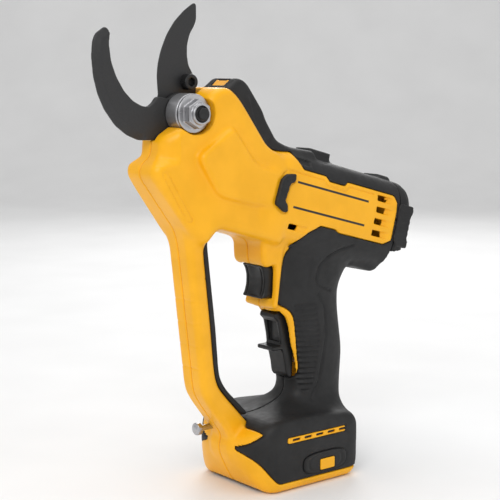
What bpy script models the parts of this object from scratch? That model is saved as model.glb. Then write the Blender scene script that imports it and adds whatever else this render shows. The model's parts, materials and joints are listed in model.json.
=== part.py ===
"""Battery electric pruner: a cordless tool that closes a curved blade on a fixed hook.

All sizes below are in millimetres, measured from the middle of the foot's underside datum: +X towards
the battery end at the rear, -X towards the blades, +Y towards the tool's right side, +Z up. The parent
empty then moves everything so that the frame's origin is the middle of the battery seat, the flat roof
of the bay that a battery slides into.
"""

import math

import bmesh
import bpy
from mathutils import Matrix, Vector

MM = 0.001
GAP = 0.3  # clearance between neighbouring pieces
WALL = 2.4  # thickness of the moulded shells
SKIN = 2.2  # thickness of the soft black cover over the shells
FAR = 400.0  # a length past the whole tool, for cutters

# The battery seat, which becomes the frame's origin
SEAT_X, SEAT_Z = 24.0, 12.0

# Motor barrel: its axis leans nose up
BARREL_TILT = math.radians(15.0)
BARREL_X, BARREL_Z = 60.0, 182.0
BARREL_WIDTH, BARREL_HEIGHT = 27.0, 32.0  # half sizes
PANEL_LOW, PANEL_HIGH, PANEL_REAR = -13.5, 21.5, 54.0  # the yellow side panel, in barrel heights

# Blade pivot, parallel to Y
PIVOT_X, PIVOT_Z = -57.5, 250.7
SLEEVE_RADIUS = 12.5
BOLT_RADIUS = 5.0
HOOK_Y = (-2.0, 2.0)
BLADE_Y = (2.3, 5.3)
SECTOR_Y = (5.6, 9.6)
SCREW_X, SCREW_Z = -50.2, 270.0

# Gear train: tooth counts and modules
SPUR_MODULE, SECTOR_TEETH, IDLER_TEETH = 1.5, 60, 14
BEVEL_MODULE, BEVEL_GEAR_TEETH, BEVEL_PINION_TEETH = 1.0, 32, 11
PLANET_MODULE, SUN_TEETH, PLANET_TEETH, RING_TEETH = 0.8, 12, 18, 48
PLANET_ANGLES = [math.radians(120.0 * index) for index in range(3)]

# Guard and trigger
GUARD_WIDTH = 12.0  # half width
LINER_WIDTH = 9.5
TRIGGER_WIDTH = 11.0
LEVER_WIDTH = 8.5
LEVER_PIN = (28.0, 111.0)

COLOURS = {
    "yellow_plastic": ((0.95, 0.50, 0.02), 0.42, 0.0),
    "black_rubber": ((0.035, 0.035, 0.038), 0.7, 0.0),
    "black_plastic": ((0.02, 0.02, 0.022), 0.45, 0.0),
    "coated_steel": ((0.06, 0.06, 0.062), 0.5, 0.4),
    "satin_steel": ((0.42, 0.43, 0.45), 0.38, 0.9),
    "zinc_steel": ((0.68, 0.69, 0.71), 0.28, 1.0),
    "black_oxide": ((0.03, 0.03, 0.032), 0.4, 0.6),
    "gear_steel": ((0.35, 0.34, 0.33), 0.35, 0.9),
    "cast_aluminium": ((0.55, 0.56, 0.58), 0.5, 0.9),
    "copper": ((0.72, 0.33, 0.16), 0.35, 0.9),
    "magnet_steel": ((0.22, 0.22, 0.24), 0.4, 0.8),
    "board_green": ((0.03, 0.2, 0.09), 0.5, 0.0),
    "lens_amber": ((0.95, 0.62, 0.12), 0.15, 0.0),
    "brass": ((0.75, 0.58, 0.25), 0.3, 0.9),
}


# ---------------------------------------------------------------- outlines


def arc(centre, radius, start, end, steps):
    """Points on a circle from one angle to another, in degrees, both ends included."""
    angles = [math.radians(start + (end - start) * step / steps) for step in range(steps + 1)]
    return [(centre[0] + radius * math.cos(a), centre[1] + radius * math.sin(a)) for a in angles]


def curve_through(points, steps):
    """A smooth open curve (Catmull-Rom) through the points."""
    padded = [points[0], *points, points[-1]]
    curve = []
    for index in range(1, len(padded) - 2):
        before, first, second, after = (Vector(padded[index + shift]) for shift in (-1, 0, 1, 2))
        for step in range(steps):
            t = step / steps
            bend = (2 * before - 5 * first + 4 * second - after) * t * t
            twist = (3 * first - before - 3 * second + after) * t * t * t
            curve.append(tuple(0.5 * (2 * first + (second - before) * t + bend + twist)))
    return [*curve, tuple(points[-1])]


def offset(outline, distance):
    """The closed outline moved outwards by distance along its corners' bisectors."""
    area = sum(a[0] * b[1] - b[0] * a[1] for a, b in zip(outline, outline[1:] + outline[:1]))
    turn = 1.0 if area > 0 else -1.0
    moved = []
    for index, point in enumerate(outline):
        into = (Vector(point) - Vector(outline[index - 1])).normalized()
        out = (Vector(outline[(index + 1) % len(outline)]) - Vector(point)).normalized()
        normals = [Vector((edge.y, -edge.x)) * turn for edge in (into, out)]
        bisector = (normals[0] + normals[1]).normalized()
        reach = distance / max(bisector.dot(normals[0]), 0.4)
        moved.append((point[0] + bisector.x * reach, point[1] + bisector.y * reach))
    return moved


def superellipse(half_x, half_y, power, count):
    """A rounded box outline, count points, starting at +X."""
    outline = []
    for step in range(count):
        angle = 2 * math.pi * step / count
        cosine, sine = math.cos(angle), math.sin(angle)
        outline.append(
            (
                half_x * math.copysign(abs(cosine) ** (2 / power), cosine),
                half_y * math.copysign(abs(sine) ** (2 / power), sine),
            )
        )
    return outline


def toothed(teeth, module, phase=0.0, internal=False, span=None):
    """A gear's outline with straight-sided teeth, one tooth centred on phase. span keeps some teeth."""
    pitch = teeth * module / 2
    tip, root = (pitch - 0.65 * module, pitch + 0.95 * module) if internal else (
        pitch + 0.65 * module,
        pitch - 0.95 * module,
    )
    step = 2 * math.pi / teeth
    outline = []
    for index in span or range(teeth):
        middle = phase + index * step
        for share, radius in ((-0.32, root), (-0.13, tip), (0.13, tip), (0.32, root)):
            angle = middle + share * step
            outline.append((radius * math.cos(angle), radius * math.sin(angle)))
    return outline


# ---------------------------------------------------------------- solids


def barrel_point(along, up):
    """A point of the mid-plane given along the barrel's axis and square to it, as (x, z)."""
    cosine, sine = math.cos(BARREL_TILT), math.sin(BARREL_TILT)
    return BARREL_X + along * cosine + up * sine, BARREL_Z - along * sine + up * cosine


def barrel_matrix(along=0.0):
    """Local +Z points rearwards along the barrel's axis, local +X is the tool's right side."""
    x, z = barrel_point(along, 0.0)
    axis = Vector((math.cos(BARREL_TILT), 0.0, -math.sin(BARREL_TILT)))
    side = Vector((0.0, 1.0, 0.0))
    matrix = Matrix((side, axis.cross(side), axis)).transposed().to_4x4()
    matrix.translation = Vector((x, 0.0, z))
    return matrix


def cross_matrix(x, z):
    """Local +Z points to the tool's right side (+Y), local X is the tool's X and local Y its Z, downwards."""
    matrix = Matrix(((1, 0, 0), (0, 0, 1), (0, -1, 0))).to_4x4()
    matrix.translation = Vector((x, 0.0, z))
    return matrix


def finish(name, mesh_data, material=None):
    """A new object from a bmesh in millimetres. Without a material it is a cutter."""
    bmesh.ops.remove_doubles(mesh_data, verts=mesh_data.verts, dist=1e-5)
    bmesh.ops.recalc_face_normals(mesh_data, faces=mesh_data.faces)
    if mesh_data.calc_volume(signed=True) < 0:
        bmesh.ops.reverse_faces(mesh_data, faces=mesh_data.faces)
    bmesh.ops.connect_verts_nonplanar(mesh_data, angle_limit=math.radians(0.01), faces=mesh_data.faces)
    mesh_data.transform(Matrix.Scale(MM, 4))
    mesh = bpy.data.meshes.new(name)
    mesh_data.to_mesh(mesh)
    mesh_data.free()
    mesh.shade_smooth()
    mesh.set_sharp_from_angle(angle=math.radians(35.0))
    thing = bpy.data.objects.new(name, mesh)
    bpy.context.scene.collection.objects.link(thing)
    thing.parent = FRAME
    if material:
        mesh.materials.append(MATERIALS[material])
    else:
        thing.hide_render = True
        thing.display_type = "WIRE"
    return thing


def rings(name, loops, material=None, matrix=None, hole=False):
    """A solid through rings of points; hole joins the last ring to the first instead of capping."""
    mesh_data = bmesh.new()
    made = [[mesh_data.verts.new(point) for point in loop] for loop in loops]
    count = len(made[0])
    pairs = list(zip(made, made[1:] + made[:1])) if hole else list(zip(made, made[1:]))
    for low, high in pairs:
        for index in range(count):
            following = (index + 1) % count
            mesh_data.faces.new((low[index], low[following], high[following], high[index]))
    if not hole:
        mesh_data.faces.new(reversed(made[0]))
        mesh_data.faces.new(made[-1])
    if matrix:
        mesh_data.transform(matrix)
    return finish(name, mesh_data, material)


def prism(name, outline, low, high, material=None, plane="xz", bevel=0.0, segments=2):
    """An outline in the plane xz, xy or yz, from low to high along the third axis, its rims bevelled."""
    place = {
        "xz": lambda a, b, c: (a, c, b),
        "xy": lambda a, b, c: (a, b, c),
        "yz": lambda a, b, c: (c, a, b),
    }[plane]
    solid = rings(name, [[place(a, b, c) for a, b in outline] for c in (low, high)], material)
    if bevel:
        round_edges(solid, bevel, segments)
    return solid


def chamfered(name, outline, half_width, chamfer, material=None):
    """A slab across the tool with both rims chamfered, from an outline in XZ."""
    inner = offset(outline, -chamfer) if chamfer else outline
    levels = [(inner, -half_width), (outline, chamfer - half_width), (outline, half_width - chamfer)]
    levels.append((inner, half_width))
    if not chamfer:
        levels = [levels[0], levels[-1]]
    return rings(name, [[(x, y, z) for x, z in shape] for shape, y in levels], material)


def round_edges(thing, width, segments=2, angle=40.0):
    modifier = thing.modifiers.new("rounded", "BEVEL")
    modifier.width = width * MM
    modifier.segments = segments
    modifier.angle_limit = math.radians(angle)
    modifier.use_clamp_overlap = True
    return thing


def turned(name, profile, matrix, material=None, sides=20):
    """A turned piece from a profile of (radius, height) points. A profile off the axis makes a ring."""
    loops = []
    on_axis = profile[0][0] == 0 and profile[-1][0] == 0
    for radius, height in profile[1:-1] if on_axis else profile:
        outline = [
            (radius * math.cos(2 * math.pi * k / sides), radius * math.sin(2 * math.pi * k / sides), height)
            for k in range(sides)
        ]
        loops.append(outline)
    return rings(name, loops, material, matrix, hole=not on_axis)


def rod(name, matrix, radius, low, high, material=None, sides=16):
    return turned(name, [(0, low), (radius, low), (radius, high), (0, high)], matrix, material, sides)


def ring(name, matrix, inner, outer, low, high, material=None, sides=16):
    return turned(
        name, [(outer, low), (outer, high), (inner, high), (inner, low)], matrix, material, sides
    )


def box(name, low, high, material=None, bevel=0.0):
    outline = [(low[0], low[1]), (high[0], low[1]), (high[0], high[1]), (low[0], high[1])]
    return prism(name, outline, low[2], high[2], material, "xy", bevel)


def boolean(thing, others, operation):
    """One exact Boolean of the thing with all the others at once."""
    modifier = thing.modifiers.new(operation.lower(), "BOOLEAN")
    modifier.operation = operation
    modifier.solver = "EXACT"
    modifier.operand_type = "COLLECTION"
    modifier.collection = bpy.data.collections.new(f"{thing.name}_{operation.lower()}")
    for other in others:
        modifier.collection.objects.link(other)
    return thing


def cut(thing, *others):
    return boolean(thing, others, "DIFFERENCE")


def join(thing, *others):
    return boolean(thing, others, "UNION")


def keep(thing, *others):
    return boolean(thing, others, "INTERSECT")


def move_origin(thing, x, y, z):
    """Puts a moving piece's origin on its joint's axis and leaves its shape where it is."""
    shift = Vector((x, y, z)) * MM
    thing.data.transform(Matrix.Translation(-shift))
    thing.location = shift
    return thing


# ---------------------------------------------------------------- outer shapes, shared by shells and covers

HEAD_SIDE = [
    (-79.0, 236.0), (-80.0, 224.5), (-87.5, 219.5), (-89.0, 213.0), (-82.0, 203.5), (-60.5, 174.5),
    (-50.0, 168.0), (-41.0, 177.5), (-27.0, 173.5), (10.0, 163.0), (10.0, 222.0), (-2.0, 229.0),
    (-23.6, 258.5), (-29.0, 264.0), (-34.0, 267.0), (-44.0, 265.5), (-60.0, 247.0),
]
HEAD_PLAN = [
    (-95.0, 11.0), (-84.0, 16.5), (-60.0, 19.0), (-42.0, 21.5), (-20.0, 22.7), (8.0, 22.7),
    (8.0, -22.7), (-20.0, -22.7), (-42.0, -21.5), (-60.0, -19.0), (-84.0, -16.5), (-95.0, -11.0),
]
PANEL_SIDE = [
    (-35.0, 241.0), (-60.0, 224.5), (-46.0, 201.0), (-40.0, 197.5), (-17.0, 191.5), (6.0, 188.4),
    (6.0, 211.2), (-14.0, 217.5), (-28.0, 236.0), (-31.5, 240.5),
]
TRIGGER_HOUSING_SIDE = [
    (-3.0, 174.0), (-2.0, 151.0), (2.0, 147.5), (9.0, 149.5), (11.0, 145.0), (9.5, 126.0), (7.0, 120.5),
    (11.5, 118.4), (13.4, 137.0), (14.6, 147.0), (16.0, 158.0), (19.0, 174.0),
]
TRIGGER_ROOM_SIDE = [(15.2, 121.5), (15.2, 150.0), (3.0, 153.0), (1.0, 170.0), (30.0, 170.0), (30.0, 121.5)]
YELLOW_SIDE = [  # seen from the side, the part of the grip and barrel where the yellow shells show
    (-60.0, 60.0), (-20.0, 60.0), (18.0, 66.5), (27.0, 66.5), (31.5, 68.5), (33.0, 74.0), (30.3, 89.0),
    (27.3, 104.5), (25.5, 113.0), (22.0, 118.0), (18.0, 124.0), (17.4, 137.0), (18.4, 146.5),
    (22.0, 158.0), (33.0, 169.0), (40.0, 173.4), (108.7, 155.0), (117.7, 188.8),
    (20.0, 215.0), (8.0, 223.5), (-4.0, 229.0), (-30.0, 240.0), (-60.0, 240.0),
]
GUARD_SIDE = [
    (-60.5, 174.5), (-53.0, 111.0), (-49.8, 84.0), (-48.5, 72.0), (-45.5, 64.0), (-24.0, 35.5),
    (-27.5, 29.0), (-21.5, 16.5), (-8.0, 16.5), (-3.0, 36.5), (-33.0, 69.5), (-36.2, 76.0),
    (-37.9, 84.0), (-40.4, 111.0), (-46.5, 166.0), (-45.0, 174.0), (-50.0, 182.0),
]
LINER_SIDE = [
    (-33.0, 69.5), (-36.2, 76.0), (-37.9, 84.0), (-40.4, 111.0), (-46.5, 166.0), (-45.0, 174.0),
    (-40.0, 175.5), (-42.5, 168.0), (-35.8, 111.0), (-33.6, 84.0), (-32.3, 77.0), (-27.5, 69.0),
    (-8.5, 49.5), (-14.5, 49.2),
]
FOOT_SIDE = [
    (-13.0, 0.0), (-20.0, 11.0), (-28.0, 28.0), (-24.0, 36.0), (-10.0, 47.5), (16.0, 48.5),
    (62.0, 44.5), (69.0, 39.0), (70.0, 34.0), (70.0, 9.0), (63.0, 0.0),
]
FOOT_PLAN = [
    (-29.0, -12.0), (-24.0, -24.0), (-11.0, -38.0), (61.0, -38.0), (67.5, -35.5), (70.0, -29.0),
    (70.0, 29.0), (67.5, 35.5), (61.0, 38.0), (-11.0, 38.0), (-24.0, 24.0), (-29.0, 12.0),
]
FOOT_YELLOW_SIDE = [
    (-60.0, -5.0), (90.0, -5.0), (90.0, 6.0), (-6.0, 6.5), (-9.0, 18.0), (-12.5, 30.0), (-9.0, 40.0),
    (0.0, 60.0), (-60.0, 60.0),
]
# The grip's cross-sections: height, front edge, rear edge, half width
GRIP_SECTIONS = [
    (34.0, -8.0, 69.0, 33.0), (43.0, 4.0, 72.0, 27.0), (50.0, 23.0, 73.5, 19.5), (60.0, 30.5, 74.5, 17.0),
    (84.0, 26.0, 76.5, 17.2), (114.0, 14.0, 72.5, 17.4), (128.0, 8.5, 73.0, 17.2), (140.0, 8.0, 80.0, 17.6),
    (152.0, 10.0, 92.0, 19.0), (166.0, 10.0, 96.0, 21.0),
]
# The barrel's cross-sections: place along the axis, share of the full width and height
BARREL_SECTIONS = [
    (-74.0, 0.66, 0.6), (-66.0, 0.86, 0.84), (-58.0, 0.97, 0.95), (-50.0, 1.0, 1.0), (60.0, 1.0, 1.0),
    (66.0, 0.93, 0.93), (69.0, 0.8, 0.8),
]
TOP_SIDE = [  # the black cover along the top, with the hump that the drive sector swings up into
    (-31.0, 265.4), (-27.0, 268.0), (-21.0, 272.5), (-16.0, 271.5), (-12.0, 268.5), (0.5, 251.5),
    (3.0, 245.5), (12.0, 232.0), (22.0, 226.5), (46.0, 222.5), (40.0, 190.0), (-6.0, 200.0), (-40.0, 240.0),
]


def barrel_shape(name, inset=0.0, low=-74.0, high=69.0, count=24):
    """The motor barrel from low to high along its axis, or the same shape smaller all round by inset."""
    sections = [section for section in BARREL_SECTIONS if low <= section[0] < high]
    if low > BARREL_SECTIONS[0][0]:
        sections.insert(0, (low, 1.0, 1.0))
    last = BARREL_SECTIONS[-1] if high >= BARREL_SECTIONS[-1][0] else (high, 1.0, 1.0)
    loops = []
    for along, wide, tall in [*sections, last]:
        outline = superellipse(BARREL_WIDTH * wide - inset, BARREL_HEIGHT * tall - inset, 3.0, count)
        loops.append([(y, up, along) for y, up in outline])
    return rings(name, loops, matrix=barrel_matrix())


def grip_shape(name, inset=0.0, count=16):
    loops = []
    for height, front, rear, half_width in GRIP_SECTIONS:
        middle, half_length = (front + rear) / 2, (rear - front) / 2 - inset
        outline = superellipse(half_length, half_width - inset, 2.7, count)
        loops.append([(middle + x, y, height) for x, y in outline])
    return rings(name, loops)


def foot_shape(name, inset=0.0):
    body = prism(name, offset(FOOT_SIDE, -inset), -FAR, FAR)
    plan = prism(f"{name}_plan", offset(FOOT_PLAN, -inset), -10.0, 60.0, plane="xy")
    return keep(body, plan)


def head_shape(name, inset=0.0):
    body = chamfered(name, offset(HEAD_SIDE, -inset), 24.0 - inset, 0.0)
    plan = prism(f"{name}_plan", offset(HEAD_PLAN, -inset), 100.0, 300.0, plane="xy")
    return keep(body, plan)


def shell_shape(name, grow=0.0):
    """Everything the yellow shells fill, before they are hollowed, or the same and grow larger all round."""

    def block(part, outline, half_width, chamfer):
        chamfer = 0.0 if grow else chamfer
        return chamfered(f"{name}_{part}", offset(outline, grow), half_width + grow, chamfer)

    shell = head_shape(name, -grow)
    past = -3.0 * grow  # so that a cover made from the same surface leaves no film
    barrel = keep(barrel_shape(f"{name}_barrel", past), block("barrel_zone", YELLOW_SIDE, 50.0, 0.0))
    grip = keep(grip_shape(f"{name}_grip", past), block("grip_zone", YELLOW_SIDE, 50.0, 0.0))
    foot = keep(foot_shape(f"{name}_foot", past), block("foot_zone", FOOT_YELLOW_SIDE, 60.0, 0.0))
    under = SKIN + GAP - grow
    return join(
        shell,
        barrel,
        grip,
        foot,
        barrel_shape(f"{name}_barrel_core", under, high=PANEL_REAR - 0.6 + 3.0 * grow),
        grip_shape(f"{name}_grip_core", under),
        foot_shape(f"{name}_foot_core", under),
        block("gear_panel", PANEL_SIDE, 25.5, 2.0),
        block("trigger_housing", TRIGGER_HOUSING_SIDE, 16.5, 1.2),
        block("guard", GUARD_SIDE, GUARD_WIDTH, 2.5),
    )


def half_space(name, side):
    """Everything on one side (-1 left, 1 right) and half a gap more, to leave the other side's half."""
    near, far = -side * GAP / 2, side * 60.0
    return box(name, (-FAR, min(near, far), -FAR), (FAR, max(near, far), FAR))


# ---------------------------------------------------------------- shells and covers

BOSSES = [  # housing screws, put in from the right side: x, z, half width of the shell there
    (-14.0, 180.0, 22.5), (58.0, 146.0, 14.2), (52.0, 96.0, 14.7), (-47.0, 122.0, 11.8),
]
SCREW_HEAD_RADIUS, SCREW_HEAD_HEIGHT, SCREW_SHANK_RADIUS = 3.0, 2.2, 1.6
SCREW_SINK = 1.6  # how far the screw's head lies under the surface
VENT_ROWS = (15.8, 7.7, -0.5, -8.7)  # heights of the motor's air slots above the barrel's axis
VENT_SPAN = (30.5, 38.0)
STUD_Y, STUD_Z, STUD_RADIUS = 7.0, 41.0, 2.0  # the stud for a lanyard, low on the guard's front
SWEEP_ANGLES = (-122.0, 20.0)
SECTOR_REACH = 47.2


def many(name, makers):
    """One cutter from several separate solids, given as (low corner, high corner) boxes or finished bmeshes."""
    mesh_data = bmesh.new()
    for maker in makers:
        maker(mesh_data)
    return finish(name, mesh_data)


def add_cylinder(x, z, radius, low, high, sides=16):
    """A maker of a cylinder parallel to Y."""

    def make(mesh_data):
        loops = [
            [
                mesh_data.verts.new(
                    (
                        x + radius * math.cos(2 * math.pi * k / sides),
                        y,
                        z + radius * math.sin(2 * math.pi * k / sides),
                    )
                )
                for k in range(sides)
            ]
            for y in (min(low, high), max(low, high))
        ]
        for k in range(sides):
            following = (k + 1) % sides
            mesh_data.faces.new((loops[0][k], loops[0][following], loops[1][following], loops[1][k]))
        mesh_data.faces.new(reversed(loops[0]))
        mesh_data.faces.new(loops[1])

    return make


def add_box(low, high, matrix=None):
    """A maker of a box, in the barrel's or in the tool's own axes."""

    def make(mesh_data):
        size = [b - a for a, b in zip(low, high)]
        middle = [(a + b) / 2 for a, b in zip(low, high)]
        place = Matrix.Translation(middle) @ Matrix.Diagonal((*size, 1.0))
        bmesh.ops.create_cube(mesh_data, size=1.0, matrix=matrix @ place if matrix else place)

    return make


def sector_sweep(name):
    """The room that the drive sector swings through."""
    centre = (PIVOT_X, PIVOT_Z)
    outline = [centre, *arc(centre, SECTOR_REACH, *SWEEP_ANGLES, 14)]
    return prism(name, outline, SECTOR_Y[0] - 0.6, SECTOR_Y[1] + 0.6)


def lever_slot(name):
    """The slot in the grip's front that the lock-off lever swings in."""
    outline = [(-10.0, 65.8), (42.0, 65.8), (42.0, 110.0), (36.0, 116.2), (-10.0, 116.2)]
    return prism(name, outline, -LEVER_WIDTH - 2.5, LEVER_WIDTH + 2.5)


def shell_cutters():
    """What both yellow shells are hollowed and opened by."""
    pivot_holes = many(
        "pivot_holes", [add_cylinder(PIVOT_X, PIVOT_Z, SLEEVE_RADIUS + 0.5, -50.0, 50.0, 24)]
    )
    collars = many(
        "pivot_collars",
        [
            add_cylinder(PIVOT_X, PIVOT_Z, SLEEVE_RADIUS + 3.2, -50.0, HOOK_Y[0] - 0.8, 24),
            add_cylinder(PIVOT_X, PIVOT_Z, SLEEVE_RADIUS + 3.2, SECTOR_Y[1] + 1.0, 50.0, 24),
        ],
    )
    head = cut(head_shape("head_hollow", WALL), collars)
    jaw_gap = prism(
        "jaw_gap",
        [(-79.2, 234.0), (-110.0, 234.0), (-110.0, 300.0), (-34.0, 300.0), (-40.0, 262.0), (-50.0, 240.0)],
        HOOK_Y[0] - GAP,
        SECTOR_Y[1] + 0.7,
    )
    sweep = sector_sweep("sector_sweep")
    hollow = SKIN + GAP + WALL
    panel = prism("panel_hollow", offset(PANEL_SIDE, -WALL), -25.5 + WALL, 25.5 - WALL)
    barrel = barrel_shape("barrel_hollow", hollow, high=PANEL_REAR + 1.0, count=16)
    grip = grip_shape("grip_hollow", hollow, count=12)
    foot = keep(
        foot_shape("foot_hollow", hollow),
        box("foot_hollow_floor", (-FAR, -FAR, SEAT_Z + 3.0), (FAR, FAR, 60.0)),
    )
    bay = prism(
        "battery_bay",
        [(-26, -5), (26, -5), (26, 5), (32, 5), (32, SEAT_Z), (-32, SEAT_Z), (-32, 5), (-26, 5)],
        -60.0,
        60.0,
        plane="yz",
    )
    housing = prism("trigger_hollow", TRIGGER_ROOM_SIDE, -13.9, 13.9)
    guard = prism("guard_hollow", offset(GUARD_SIDE, -2.0), -GUARD_WIDTH + 2.2, GUARD_WIDTH - 2.2)
    trigger_slot = box(
        "trigger_slot", (-10.0, -TRIGGER_WIDTH - GAP, 126.0), (27.0, TRIGGER_WIDTH + GAP, 149.0)
    )
    vents = many(
        "vents",
        [
            add_box((-40.0, row - 2.2, VENT_SPAN[0]), (40.0, row + 2.2, VENT_SPAN[1]), barrel_matrix())
            for row in VENT_ROWS
        ],
    )
    pin_holes = many("pin_holes", [add_cylinder(*LEVER_PIN, 2.2, -12.0, 12.0, 12)])
    stud_hole = box(
        "stud_hole",
        (-40.0, STUD_Y - STUD_RADIUS - GAP, STUD_Z - STUD_RADIUS - GAP),
        (-22.0, STUD_Y + STUD_RADIUS + GAP, STUD_Z + STUD_RADIUS + GAP),
    )
    return [head, panel, barrel, grip, foot, bay, housing, guard], [
        pivot_holes, jaw_gap, sweep, lever_slot("lever_slot"), trigger_slot, vents, pin_holes, stud_hole,
    ]


def screw_tools():
    """Bosses of both shells, the rib behind the lock-off spring, and the screws' holes."""
    right = many(
        "right_bosses",
        [
            *(add_cylinder(x, z, 4.6, 0.5, half - 1.0) for x, z, half in BOSSES),
            add_box((44.5, 0.6, 75.0), (46.5, 13.6, 85.0)),
        ],
    )
    left = many(
        "left_bosses",
        [
            *(add_cylinder(x, z, 3.8, -0.5, 1.0 - half) for x, z, half in BOSSES),
            add_box((44.5, -13.6, 75.0), (46.5, -0.6, 85.0)),
        ],
    )
    seats = many(
        "screw_seats",
        [
            add_cylinder(
                x, z, SCREW_HEAD_RADIUS + GAP, half - SCREW_SINK - SCREW_HEAD_HEIGHT - GAP, half + 9.0
            )
            for x, z, half in BOSSES
        ],
    )
    holes = many(
        "screw_holes",
        [add_cylinder(x, z, SCREW_SHANK_RADIUS + 0.2, 5.0 - half, half) for x, z, half in BOSSES],
    )
    return right, left, seats, holes


def show(thing, material):
    """Turns a cutter's shape into a visible piece."""
    thing.hide_render = False
    thing.display_type = "TEXTURED"
    thing.data.materials.append(MATERIALS[material])
    return thing


def make_shells():
    hollows, openings = shell_cutters()
    right_bosses, left_bosses, seats, holes = screw_tools()
    for name, side, bosses in (("left_housing", -1, left_bosses), ("right_housing", 1, right_bosses)):
        shell = show(shell_shape(name), "yellow_plastic")
        cut(shell, half_space(f"{name}_other_side", -side), *hollows)
        join(shell, bosses)
        cut(shell, *openings, holes)
        if side > 0:
            cut(shell, seats)
    return seats


def make_covers(seats):
    """The soft black covers: one on each side of the grip and foot, one on top, and the rear cap."""
    void = shell_shape("cover_void", GAP)
    above = many(
        "above_panel", [add_box((-60.0, 4.0, -90.0), (60.0, 90.0, 90.0), barrel_matrix())]
    )
    bay = box("under_cover", (-FAR, -FAR, -10.0), (FAR, FAR, 6.0))
    strips = many(
        "strip_pockets",
        [
            add_box((1.3, -40.0, 32.9), (53.3, -36.7, 37.1)),
            add_box((1.3, 36.7, 32.9), (53.3, 40.0, 37.1)),
        ],
    )
    tag = prism("tag_seat", offset(tag_outline(), GAP), -40.0, -36.8)
    slot = lever_slot("cover_lever_slot")
    for name, side in (("left_grip_cover", -1), ("right_grip_cover", 1)):
        cover = show(grip_shape(name), "black_rubber")
        join(cover, foot_shape(f"{name}_foot"), barrel_shape(f"{name}_barrel", high=PANEL_REAR - 0.9))
        cut(cover, half_space(f"{name}_other_side", -side), void, above, bay, strips, tag, slot)
        if side > 0:
            cut(cover, seats)
    top = prism("top_cover", TOP_SIDE, -14.5, 14.5, "black_rubber", bevel=2.5)
    upper = keep(
        barrel_shape("cover_barrel_top", low=-50.0, high=PANEL_REAR - 1.1),
        many("above_axis", [add_box((-60.0, 5.0, -90.0), (60.0, 90.0, 90.0), barrel_matrix())]),
    )
    hump = prism("hump_hollow", offset(TOP_SIDE, -WALL), -12.0, 12.0)
    keep(hump, box("behind_lens", (-20.5, -20.0, 100.0), (FAR, 20.0, 300.0)))
    lens = lens_shape("lens_pocket", GAP)
    join(top, upper)
    cut(top, void, hump, lens, sector_sweep("cover_sweep"))
    cap = show(barrel_shape("rear_cap", low=PANEL_REAR + GAP), "black_plastic")
    cut(cap, barrel_shape("cap_hollow", SKIN + GAP + WALL, low=PANEL_REAR - 5.0, high=63.0, count=16))
    join(cap, ring("bearing_holder", barrel_matrix(), 6.3, 9.0, 46.0, 64.0))
    return cap


def lens_shape(name, grow=0.0, material=None):
    """The work light's window in the sloping front of the hump."""
    slope = math.radians(41.0)
    across = Vector((0, 1, 0))
    along = Vector((math.cos(slope), 0, math.sin(slope)))
    deep = along.cross(across)
    middle = Vector((-24.6, 0.0, 268.9))
    loops = []
    for depth, trim in ((-0.4, 0.6), (0.2, 0.0), (3.0, 0.0)):
        half_across, half_along = 6.4 - trim + grow, 3.0 - trim + grow
        reach = depth + (grow if depth > 1 else -5.0 * bool(grow))
        loops.append(
            [
                tuple(middle + across * a * half_across + along * b * half_along + deep * reach)
                for a, b in ((-1, -1), (1, -1), (1, 1), (-1, 1))
            ]
        )
    if grow:
        loops = [loops[1], loops[2]]
    return rings(name, loops, material)


# ---------------------------------------------------------------- blades and pivot

HOOK_SIDE = [
    (-111.0, 303.8), (-117.9, 299.4), (-120.0, 294.9), (-120.8, 285.9), (-119.7, 273.9), (-116.8, 263.2),
    (-112.4, 254.0), (-104.8, 244.2), (-96.6, 238.1), (-88.1, 234.6), (-76.0, 234.6), (-73.6, 230.0),
    (-66.0, 223.5), (-50.0, 222.0), (-43.0, 232.0), *arc((PIVOT_X, PIVOT_Z), 12.8, 0.0, 135.0, 8),
    (-74.8, 261.4), (-78.2, 257.1), (-81.6, 255.0), (-86.8, 255.7), (-93.4, 259.0), (-99.8, 265.2),
    (-105.2, 273.8), (-108.7, 282.9), (-110.1, 293.5), (-109.1, 300.5),
]
BLADE_BACK = [
    (-43.5, 319.5), (-41.7, 318.3), (-41.7, 309.2), (-43.3, 305.2), (-46.9, 300.0), (-49.0, 293.2),
    (-49.2, 286.8), (-48.1, 280.4), (-45.1, 275.7), (-42.0, 268.0), (-43.0, 258.0),
    *arc((PIVOT_X, PIVOT_Z), 14.0, 0.0, -180.0, 12), (-71.5, 258.0),
]
BLADE_EDGE = [
    (-71.5, 262.6), (-72.3, 273.6), (-71.5, 281.4), (-69.0, 290.0), (-64.6, 299.4), (-58.6, 307.7),
    (-50.7, 314.9),
]
GRIND_WIDTH = 3.0  # of the blade's ground edge


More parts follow.
